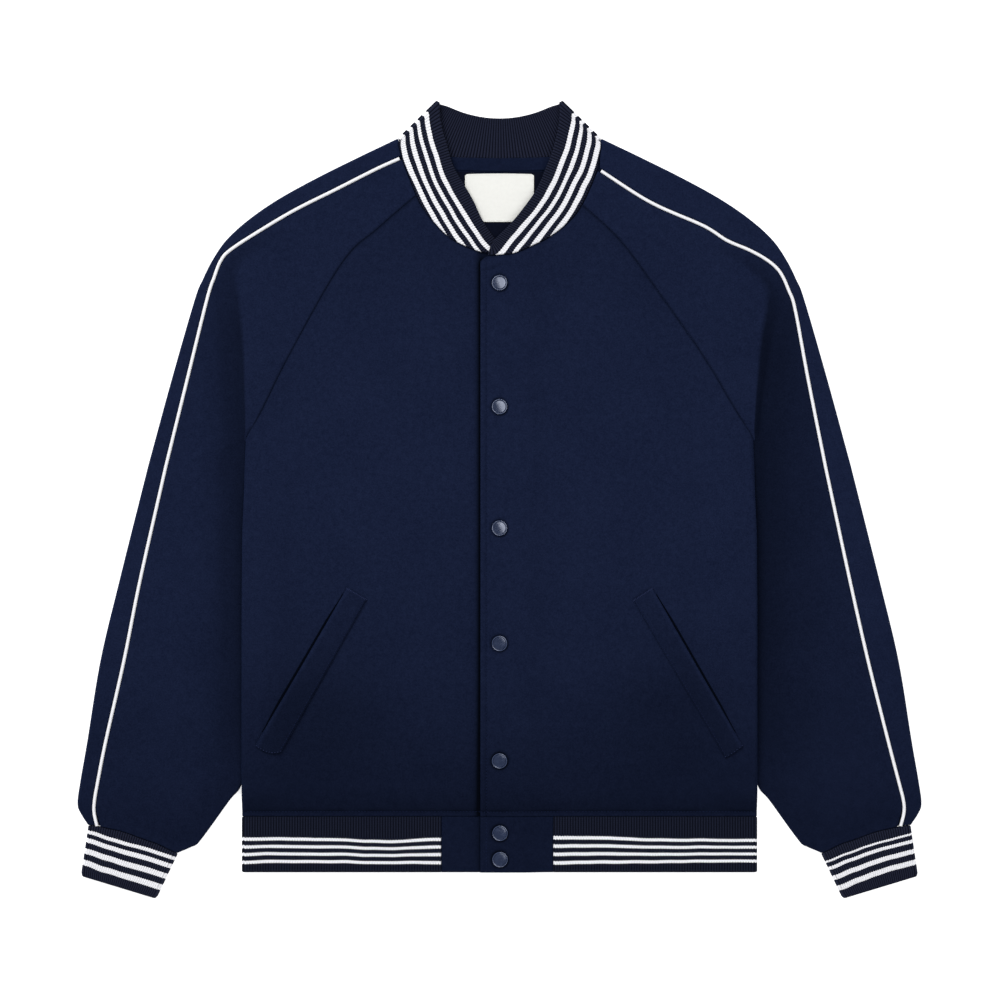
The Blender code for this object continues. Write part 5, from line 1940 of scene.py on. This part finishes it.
@dataclass
class Cuff:
    """One striped cuff: a flattened tube, narrower at its folded end."""

    side: Side
    seam: tuple = ((315.2, -346.9), (403.2, -322.4))
    end: tuple = ((336.0, -390.5), (409.6, -368.2))
    length: float = 47.0
    tuck: float = 0.5
    stripe_bow: float = 1.4
    # How far the folded end's corners are drawn in, and from how far above the end
    corner: float = 3.0
    corner_reach: float = 5.0
    middle_stripe: float = 20.2
    stripe_shift = {
        Side.RIGHT: ((0, 0.1), (0.25, 0.0), (0.5, 0.4), (0.75, -0.2), (1, -2.2)),
        Side.LEFT: ((0, 2.2), (0.25, 0.6), (0.5, -0.2), (0.75, -1.0), (1, -1.2)),
    }
    stripe_squeeze = {Side.RIGHT: 1.0, Side.LEFT: 0.9}
    per_rib: int = 6
    row_step: float = 3.0

    def build(self) -> Object:
        """Build the tube: its front, its outer fold, its back and its inner fold, with the seam bowed.

        Returns:
            The cuff.
        """
        radius = (RIB_FRONT_MID - RIB_BACK_MID) / 2
        seam, end = (np.array(pair) for pair in (self.seam, self.end))
        wide, fold = np.linalg.norm(seam[1] - seam[0]), math.pi * radius
        tube = 2 * (wide + fold)
        wales = round(tube / RIB_PITCH)
        count = wales * self.per_rib
        at = np.arange(count) * (wales * RIB_PITCH) / count
        u = at * tube / (wales * RIB_PITCH)
        quarter = np.searchsorted(np.cumsum([wide, fold, wide]), u, side="right")
        starts = np.array([0, wide, wide + fold, 2 * wide + fold])
        part = (u - starts[quarter]) / np.array([wide, fold, wide, fold])[quarter]
        v = shares_of(self.length, self.row_step)[:, None]
        inner = mix(seam[0], end[0], v)[:, None, :]
        outer = mix(seam[1], end[1], v)[:, None, :]
        way = (outer - inner) / np.linalg.norm(outer - inner, axis=-1, keepdims=True)
        rounding = smooth(v, 1 - self.corner_reach / self.length, 1) ** 2 * 0.75
        inset = radius + RIB_BAND / 2 + self.corner * (1 - np.sqrt(1 - rounding))[..., None]
        low, high = inner + inset * way, outer - inset * way
        bulge = np.sin(math.pi * part)[None, :]
        quarters = [quarter == 0, quarter == 1, quarter == 2]
        share = np.select(quarters, [part, 1 + 0 * part, 1 - part], 0.0)
        plan = mix(low, high, share[None, :, None])
        turned = np.where(quarter == 1, 1.0, np.where(quarter == 3, -1.0, 0.0))[None, :]
        turned = turned * bulge * radius
        plan = plan + turned[..., None] * way
        line = (seam[1] - seam[0]) / wide
        share_of_seam = np.clip(((plan - seam[0]) @ line) / wide, 0, 1)
        bow = (self.tuck + cuff_bow(share_of_seam)) * (1 - v)
        upward = np.stack([-way[..., 1], way[..., 0]], axis=-1)
        plan = plan + bow[..., None] * upward
        heights = [RIB_FRONT_MID + 0 * part, RIB_BACK_MID + radius * (1 + np.cos(math.pi * part)),
                   RIB_BACK_MID + 0 * part]
        z = np.select(quarters, heights, RIB_BACK_MID + radius * (1 - np.cos(math.pi * part)))
        sign = self.side.value
        middle = np.stack(np.broadcast_arrays(sign * plan[..., 0], plan[..., 1], z[None, :]), axis=-1)
        along = self.length * v - bow + self.stripe_bow * np.sin(math.pi * share_of_seam)
        shift = eased(self.stripe_shift[self.side], share)[None, :]
        along = self.middle_stripe + (along - self.middle_stripe - shift) / self.stripe_squeeze[self.side]
        across = np.repeat(at[None, :], len(v), axis=0)
        word = self.side.word
        wall = Wall(f"rib_cuff_{word}", middle, f"cuff_rib_{word}", across, along, RIB_BAND, shown=-sign,
                    loop=True, outer=1.0, edge=1.2)
        return sewn_sheet(wall, f"cuff_{word}")


# Small pieces


@dataclass
class HemTab:
    """The self-fabric end of the hem band under one front edge."""

    side: Side
    step: float = 1.6
    swell: float = 0.15
    # Painted shade all over the tab, and how much more of it at the snaps or beside the overlap
    flat: float = 0.44
    extra_shade: float = 0.4
    lap_reach: float = 3.0

    def build(self) -> Object:
        """Build the tab, folded at its foot.

        Returns:
            The tab.
        """
        sign = self.side.value
        start, end = TAB_ENDS[sign]
        x = marks((start, end), self.step)[None, :]
        y = marks((HEM_END, HEM_SEAM - GAP), self.step)[:, None]
        x, y = np.broadcast_arrays(x, y)
        z = front_height(x, np.full_like(x, HEM_SEAM), lapped=sign > 0)
        z += self.swell * uneven(x + 0.6 * y, 24, sign)
        # press dents the left tab at its snaps; on both tabs it places more painted shade, round the snaps or
        # beside the overlap's edge
        press = snap_press(x, y) if sign > 0 else np.exp(-np.maximum(FRONT_EDGE[1] - x, 0) / self.lap_reach)
        if sign > 0:
            z -= SNAP_DENT * press
        wall = Wall(f"wool_hem_tab_{self.side.word}", np.stack([x, y, z], axis=-1), "wool", x, y,
                    pressed=np.clip(self.flat + self.extra_shade * press, 0, 1))
        return sewn_sheet(wall, f"hem_tab_{self.side.word}")


@dataclass
class PocketWelt:
    """One slanted welt, with a near-black strip of painted shadow for the pocket's mouth along its outer
    edge.
    """

    side: Side
    step: float = 1.5
    thickness: float = 2.0
    # The pocket's mouth: a thin strip painted near black as a painted shadow
    slit_width: float = 2.3
    slit_share = (0.085, 0.955)
    slit_rows: int = 60
    slit_end: float = 0.45
    slit_thickness: float = 0.4
    slit_shade: float = 0.97
    sewn_sink: float = 0.4
    sewn_reach: float = 2.4
    rolled_edge: float = 0.6
    rolled_at: float = 1.7
    rolled_reach: float = 1.3
    # Painted shade added to the body's: all over, less on the roll as a painted highlight, and more along the
    # sewn edges
    flat: float = 0.11
    rolled_highlight: float = 0.3
    sewn_shade: float = 0.2
    sewn_shade_reach: float = 1.1

    corners = {
        # top outer, top inner, foot outer, foot inner
        -1: ((148.8, -86.0), (129.7, -97.0), (238.2, -239.8), (212.6, -246.2)),
        1: ((148.9, -86.0), (130.4, -98.1), (237.2, -240.4), (220.0, -252.2)),
    }
    foot_bow = {-1: 4.5, 1: 1.2}

    def surface(self, u: Array, v: Array, lift: float) -> Array:
        """Points over the front panel.

        Args:
            u: Shares of the way from the inner to the outer edge.
            v: Shares of the way from the foot to the top.
            lift: How far above the panel's middle they lie.

        Returns:
            The point at each.
        """
        sign = self.side.value
        top_outer, top_inner, foot_outer, foot_inner = (np.array(corner) for corner in self.corners[sign])
        u, v = (part[..., None] for part in np.broadcast_arrays(u, v))
        plan = mix(mix(foot_inner, foot_outer, u), mix(top_inner, top_outer, u), v)
        bow = self.foot_bow[sign] * np.sin(math.pi * np.clip(u, 0, 1)) ** 0.7 * smooth(v, 0.12, 0.0)
        plan = plan - bow * np.array((0.0, 1.0))
        out, y = plan[..., 0], plan[..., 1]
        z = front_height(out, y) + Body().relief(self.side, out, y) + lift
        return np.stack([sign * out, y, z], axis=-1)

    def build(self) -> Object:
        """Build the welt and, beside it, the mouth: a strip of painted shadow.

        Returns:
            The welt.
        """
        sign, word = self.side.value, self.side.word
        corners = self.corners[sign]
        wide, long = math.dist(corners[0], corners[1]), math.dist(corners[0], corners[2])
        u, v = shares_of(wide, self.step)[None, :], shares_of(long, self.step)[:, None]
        middle = self.surface(u, v, CLOTH / 2 + 2 * GAP + self.thickness / 2)
        soft = 0.16 * uneven(v * long, 31, sign) * np.sin(math.pi * u) + 0.2 * np.sin(math.pi * u)
        # The inner edge and both ends are sewn down, and the outer edge is a rolled fold
        from_sewn = np.minimum(np.minimum(u * wide, v * long), (1 - v) * long)
        rolled = hump((1 - u) * wide, self.rolled_reach, self.rolled_at)
        middle[..., 2] += soft - self.sewn_sink * hump(from_sewn, self.sewn_reach) + self.rolled_edge * rolled
        across, along = np.broadcast_arrays(u * wide, v * long)
        # Painted shade: the front's around it, more all over, less on the roll as a painted highlight, more
        # by the sewn edges
        around = Body().front_pressed(self.side, sign * middle[..., 0], middle[..., 1])
        pressed = around + self.flat - self.rolled_highlight * rolled
        pressed = pressed + self.sewn_shade * hump(from_sewn, self.sewn_shade_reach)
        wall = Wall(f"wool_welt_{word}", middle, "wool", across, along, self.thickness, shown=sign,
                    pressed=np.clip(pressed, 0, 1))
        piece = sewn_sheet(wall, f"pocket_welt_{word}")
        # The mouth: a thin strip of wool in near-full painted shade, a painted shadow in the opening
        slit = marks((1.0 + 0.1 / wide, 1.0 + self.slit_width / wide), 0.5 / wide, scale=0.5 / wide)[None, :]
        share = np.linspace(*self.slit_share, self.slit_rows)[:, None]
        open_part = smooth(np.minimum(share - share[0], share[-1] - share), 0, 0.2)
        slit = 1.0 + (slit - 1.0) * (self.slit_end + (1 - self.slit_end) * open_part)
        strip = self.surface(slit, share, CLOTH / 2 + self.slit_thickness / 2)
        across, along = np.broadcast_arrays(slit * wide, share * long)
        mouth = Wall(f"pocket_mouth_shadow_{word}", strip, "wool", across, along, self.slit_thickness, shown=sign,
                     edge=0.5, pressed=self.slit_shade)
        dress(mouth.build())
        return piece


@dataclass
class NeckInside:
    """What shows inside the neck: the facing strip, the lining below it, and the blank label on both."""

    facing_depth: float = 12.5
    facing_half: float = 60.0
    facing_lap: float = 0.8
    lining_depth: float = 70.0
    lining_foot: float = 246.0
    lining_half: float = 62.0
    lining_foot_half: float = 44.0
    facing_thickness: float = 1.0
    label_half: float = 33.8
    label_top: float = 319.0
    label_foot: float = 271.5
    label_thickness: float = 0.8
    label_curl: float = 0.45

    def build(self) -> list[Object]:
        """Build the three pieces.

        Returns:
            The facing, the lining and the label.
        """
        neck = PlanLine(BACK_NECK)
        low = CLOTH + GAP + self.facing_thickness / 2
        u = marks((-1.0, 1.0), 1.6 / self.facing_half, scale=1 / self.facing_half)[None, :]
        v = shares_of(self.facing_depth, 1.2)[:, None]
        x = u * self.facing_half + 0 * v
        y = neck.y_at(np.abs(x)) + self.facing_lap - self.facing_depth * (1 - v)
        z = low + 0.12 * uneven(x, 40, 1)
        # The facing is darkened all over by painted shade
        facing = Wall("wool_neck_facing", np.stack([x, y, z], axis=-1), "wool", x, y, self.facing_thickness,
                      edge=0.5, pressed=0.3)
        v = shares_of(self.lining_depth, 2.5)[:, None]
        x = u * mix(self.lining_foot_half, self.lining_half, v)
        y = mix(self.lining_foot, neck.y_at(np.abs(u) * self.lining_half) - self.facing_depth - 2 * GAP, v)
        z = low + 0.1 * (1 + uneven(x + 0.5 * y, 27, 2))
        lining = Wall("satin_back_lining", np.stack([x, y, z], axis=-1), "lining", x, y,
                      self.facing_thickness, edge=0.5)
        return [
            sewn_sheet(facing, "back_neck_facing"),
            sewn_sheet(lining, "back_lining"),
            self.label(low),
        ]

    def label(self, low: float) -> Object:
        """Build the blank satin label, with rounded corners and a soft curl.

        Args:
            low: The height of the middle of what it lies on.

        Returns:
            The label.
        """
        high = low + (self.facing_thickness + self.label_thickness) / 2 + GAP
        half, tall = self.label_half, self.label_top - self.label_foot
        u = marks((-1.0, 1.0), 1.3 / half, scale=1 / half)[None, :]
        v = shares_of(tall, 1.3)[:, None]
        corner = 1.5 * np.maximum(np.abs(u) * half - half + 3, 0) ** 2 / 9
        x = u * half + 0 * v
        y = mix(self.label_foot + corner, self.label_top - corner - 0.6 * (u * u), v)
        curl = self.label_curl * smooth(np.abs(v - 0.45), 0.5, 0.1) * (1 - u * u)
        z = high + curl + 0.1 * uneven(x + y, 33, 1)
        middle = np.stack([x, y, z], axis=-1)
        wall = Wall("satin_label", middle, "label", x, y, self.label_thickness, edge=0.4)
        return sewn_sheet(wall, "neck_label")


@dataclass
class Snaps:
    """The seven snap caps down the placket and the hem tabs.

    nods is how many degrees the upper edge of each is tipped up, from the neck down.
    """

    hem_out: float = 0.5
    steps: int = 56
    rim_roll: float = 0.42
    rim_height: float = 1.35
    ring_height: float = 1.0
    ring_width: float = 0.35
    dome_gap: float = 0.45
    dome_height: float = 1.5
    dome_rise: float = 0.2
    middle: float = 0.001
    nods = (0.0, 0.0, 0.0, 4.5, 4.0, 1.0, 1.0)

    def profile(self) -> Array:
        """The cap's turned section: a side, a rolled rim, a sunk ring and a low dome.

        Returns:
            The distance out, the height and the rim's share of wear and painted highlight, at each of its
            points.
        """
        r, roll = SNAP_RADIUS, self.rim_roll
        inside = r - 2 * roll
        rim = [(r - roll + roll * math.cos(a), self.rim_height + roll * math.sin(a), math.sin(a))
               for a in np.linspace(0, math.pi, 9)]
        ring = ((inside, self.ring_height, 0.0), (inside - self.ring_width, self.ring_height, 0.0))
        dome = [(s * (inside - self.dome_gap), self.dome_height + self.dome_rise * (1 - s**2), 0.0)
                for s in np.linspace(1, 0.12, 10)]
        peak = (self.middle, self.dome_height + self.dome_rise, 0)
        return np.array([(self.middle, 0, 0), (r - 0.1, 0, 0), (r, 0.25, 0), *rim, *ring, *dome, peak])

    def build(self) -> None:
        """Build each cap where it sits on the cloth."""
        profile = self.profile()
        turn = np.linspace(0, math.tau, self.steps, endpoint=False)
        count = len(profile)
        ring = np.arange(self.steps)[:, None] * count + np.arange(count)[None, :]
        after = np.roll(ring, -1, axis=0)
        faces = np.stack([ring[:, :-1], after[:, :-1], after[:, 1:], ring[:, 1:]], axis=-1).reshape(-1, 4)
        caps = [ring[::-1, 0].tolist(), ring[:, -1].tolist()]
        for number, (y, nod) in enumerate(zip(SNAP_HEIGHTS, self.nods), start=1):
            x = self.hem_out if y < HEM_SEAM else 0.0
            level = front_height(np.array(0.0), np.array(max(y, HEM_SEAM)), lapped=True)
            z = float(level) + CLOTH / 2 + GAP - SNAP_DENT
            north = profile[None, :, 0] * np.sin(turn)[:, None]
            points = np.stack([
                x + profile[None, :, 0] * np.cos(turn)[:, None],
                y + north,
                z + profile[None, :, 1] + north * math.tan(math.radians(nod)),
            ], axis=-1).reshape(-1, 3)
            mesh = bpy.data.meshes.new(f"snap_{number}")
            mesh.from_pydata((points * MM).tolist(), [], faces.tolist() + caps)
            # How much rim wear and painted highlight each point has
            rubbed = mesh.attributes.new("rubbed", "FLOAT", "POINT")
            rubbed.data.foreach_set("value", np.tile(profile[:, 2], self.steps))
            mesh.materials.append(WARDROBE.material("snap"))
            mesh.shade_smooth()
            dress(new_object(mesh.name, mesh), (f"snap_cap_{number}",))


# Sewing


class Ground:
    """The finished cloth, for laying stitches on its upper face.

    above is the height in metres from which it is searched downwards.
    """

    above = 0.1

    def __init__(self, pieces: list[Object]) -> None:
        """Keep a search tree of each piece.

        Args:
            pieces: The finished pieces.
        """
        graph = bpy.context.evaluated_depsgraph_get()
        self.trees = [BVHTree.FromObject(piece, graph) for piece in pieces]

    def laid(self, line: list[tuple[float, float]], step: float = 1.5, proud: float = 0.05) -> Array:
        """Drop a line in plan onto the cloth.

        Args:
            line: Its corners.
            step: How far apart the points on it lie.
            proud: How far above the cloth they lie.

        Returns:
            The points.
        """
        line = np.array(line, float)
        run = runs(line)
        at = np.linspace(0, run[-1], max(2, int(run[-1] / step)))
        out = []
        for x, y in np.stack([np.interp(at, run, axis) for axis in line.T], axis=-1):
            start = Vector((x * MM, y * MM, self.above))
            hits = [tree.ray_cast(start, Vector((0, 0, -1)))[0] for tree in self.trees]
            highest = max((hit.z for hit in hits if hit), default=0.0)
            out.append((x, y, highest / MM + proud))
        return np.array(out)


@dataclass
class Sewing:
    """Topstitching, bar tacks and label stitches. The last three rows are a pitch and a stitch's length."""

    pitch: float = 3.1
    length: float = 2.3
    width: float = 0.55
    inset: float = 2.0
    placket_top: float = 236.0
    tack_step: float = 0.8
    tack_depths = (0.7, 1.3)
    top_tacks = (1.6, 1.2)
    foot_tacks = (2.8, 1.5)
    label_stitches = (2.0, 1.4)

    def stitches(self, name: str, lines: list[Array], finish: str, pitch: float, length: float) -> Object:
        """Build one piece of stitches.

        Args:
            name: Its name.
            lines: The lines that the stitches lie along.
            finish: Its finish's key.
            pitch: From one stitch to the next.
            length: A stitch's length.

        Returns:
            The piece.
        """
        obj = line_object(name, lines)
        values = {"Pitch": pitch * MM, "Length": length * MM, "Width": self.width * MM,
                  "Material": WARDROBE.material(finish)}
        return dress(grown(obj, "stitch_tree", values))

    def body(self, ground: Ground) -> None:
        """Sew the placket's and the hem's topstitching.

        Args:
            ground: The cloth below it.
        """
        edge = FRONT_EDGE[1] + PLACKET_STITCH
        lines = [
            ground.laid([(edge, HEM_END + 2), (edge, self.placket_top)]),
            ground.laid([(-HALF_BODY + 6, HEM_STITCH), (FRONT_EDGE[1] - 1, HEM_STITCH)]),
            ground.laid([(FRONT_EDGE[1] + 1, HEM_STITCH), (HALF_BODY - 6, HEM_STITCH)]),
        ]
        self.stitches("topstitch_body", lines, "thread", self.pitch, self.length)

    def pockets(self, ground: Ground) -> None:
        """Sew each welt's seam stitching and the bar tacks across its ends.

        Args:
            ground: The cloth below them.
        """
        seams, tacks, feet = [], [], []
        foot_share = np.linspace(0.04, 0.96, 14)
        for sign, corners in PocketWelt.corners.items():
            mirrored = (np.array(corner) * (sign, 1) for corner in corners)
            top_outer, top_inner, foot_outer, foot_inner = mirrored
            inward = (foot_outer - foot_inner) / np.linalg.norm(foot_outer - foot_inner)
            down = (foot_inner - top_inner) / np.linalg.norm(foot_inner - top_inner)
            near = self.inset * inward
            seams.append(ground.laid([top_inner + near + 4 * down, foot_inner + near - 4 * down]))
            for depth in self.tack_depths:
                tack = [top_inner + down * depth, top_outer + down * depth]
                tacks.append(ground.laid(tack, step=self.tack_step))
            bow = PocketWelt.foot_bow[sign] * np.sin(math.pi * foot_share) ** 0.7
            foot = mix(foot_inner, foot_outer, foot_share[:, None])
            foot = foot + np.outer(self.tack_depths[1] - bow, (0.0, 1.0))
            feet.append(ground.laid(foot.tolist(), step=self.tack_step))
        self.stitches("topstitch_pockets", seams, "thread", self.pitch, self.length)
        self.stitches("tacks_pocket_tops", tacks, "tack_thread", *self.top_tacks)
        self.stitches("tacks_pocket_feet", feet, "tack_thread", *self.foot_tacks)

    def label(self, ground: Ground) -> None:
        """Sew small stitches round the label.

        Args:
            ground: The label below them.
        """
        neck = NeckInside()
        half, inset = neck.label_half - 1.4, 1.3
        top, foot = neck.label_top - inset, neck.label_foot + inset
        line = [(-half, top - 1), (-half + 1, top), (half - 1, top), (half, top - 1), (half, foot),
                (-half, foot), (-half, top - 1)]
        self.stitches("label_stitches", [ground.laid(line)], "label_thread", *self.label_stitches)


# Scene


@dataclass
class Studio:
    """A pale floor, soft overhead light, and a camera that looks straight down."""

    distance: float = 3.0
    frame_mm: float = 980.0
    centre: tuple[float, float] = (0.49, -0.49)
    sensor: float = 36.0
    floor_half: float = 6.0
    floor_drop: float = 0.5
    floor_glow: float = 0.65
    room = (0.4, 0.4, 0.4, 1)
    mirrored_room: str = "63708F"
    # Name, place in metres, size in metres, power in watts, and whether metal mirrors it
    softboxes = (
        ("key_softbox", (-2.0, 3.0, 3.2), 2.8, 184.0, False),
        ("overhead_softbox", (0.73, 0.31, 2.8), 1.5, 10.0, True),
        ("low_softbox", (0.9, -2.1, 2.6), 1.6, 27.0, False),
    )

    def build(self) -> None:
        """Set up the floor, the camera, the world and the lights."""
        scene = bpy.context.scene
        scene.view_settings.view_transform = "Standard"
        self.floor()
        camera = bpy.data.cameras.new("overhead_camera")
        camera.sensor_width = self.sensor
        camera.lens = self.sensor * self.distance / (self.frame_mm * MM)
        camera.clip_start, camera.clip_end = 0.1, 20
        place = (self.centre[0] * MM, self.centre[1] * MM, self.distance)
        scene.camera = new_camera_or_light("overhead_camera", camera, place)
        scene.world = self.world()
        for name, place, size, watts, mirrored in self.softboxes:
            light = bpy.data.lights.new(name, "AREA")
            light.shape = "SQUARE"
            light.size = size
            light.energy = watts
            lamp = new_camera_or_light(name, light, place)
            lamp.visible_glossy = mirrored
            lamp.rotation_euler = (Vector((0, 0, 0)) - Vector(place)).to_track_quat("-Z", "Y").to_euler()

    def floor(self) -> None:
        """Lay the floor just below the jacket, glowing a little so that it stays white."""
        floor = bpy.data.meshes.new("studio_floor")
        far, below = self.floor_half, -self.floor_drop * MM
        floor.from_pydata([(-far, -far, below), (far, -far, below), (far, far, below), (-far, far, below)],
                          [], [(0, 1, 2, 3)])
        material = bpy.data.materials.new("pale_floor")
        material.use_nodes = True
        shader = material.node_tree.nodes["Principled BSDF"]
        shader.inputs["Base Color"].default_value = linear("F7F7F7")
        shader.inputs["Roughness"].default_value = 0.9
        shader.inputs["Emission Color"].default_value = (1, 1, 1, 1)
        shader.inputs["Emission Strength"].default_value = self.floor_glow
        floor.materials.append(material)
        new_object("studio_floor", floor)

    def world(self) -> bpy.types.World:
        """Make the room's even light.

        Returns:
            The world.
        """
        world = bpy.data.worlds.new("pale_world")
        world.use_nodes = True
        tree = world.node_tree
        # Metal mirrors a darker, bluer room than the one that lights the cloth, as beside dark flags
        mirrored = add_node(tree, "ShaderNodeLightPath").outputs["Is Glossy Ray"]
        room = add_node(tree, "ShaderNodeMix", {"data_type": "RGBA"},
                        {0: mirrored, 6: self.room, 7: linear(self.mirrored_room)}).outputs[2]
        tree.links.new(room, tree.nodes["Background"].inputs["Color"])
        tree.nodes["Background"].inputs["Strength"].default_value = 1.0
        return world


def new_camera_or_light(name: str, data: bpy.types.ID, place: tuple[float, float, float]) -> Object:
    """Link a camera or a light into the scene.

    Args:
        name: Its name.
        data: Its settings.
        place: Where it stands, in metres.

    Returns:
        Its object.
    """
    obj = bpy.data.objects.new(name, data)
    obj.location = place
    bpy.context.scene.collection.objects.link(obj)
    return obj


def main() -> None:
    """Build the jacket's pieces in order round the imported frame."""
    logging.basicConfig(level=logging.INFO, format="%(message)s")
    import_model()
    Studio().build()
    cloth = Body().build()
    for side in Side:
        cloth.update(Sleeve(side).build())
        Cuff(side).build()
        cloth[f"hem_tab_{side.word}"] = HemTab(side).build()
        cloth[f"pocket_welt_{side.word}"] = PocketWelt(side).build()
    HemBand().build()
    cloth["collar"] = Collar().build()
    cloth["label"] = NeckInside().build()[-1]
    Snaps().build()
    ground, sewing = Ground(list(cloth.values())), Sewing()
    sewing.body(ground)
    sewing.pockets(ground)
    sewing.label(Ground([cloth["label"]]))
    LOG.info("stitches lie on %d pieces of cloth", len(cloth))


if __name__ == "__main__":
    main()
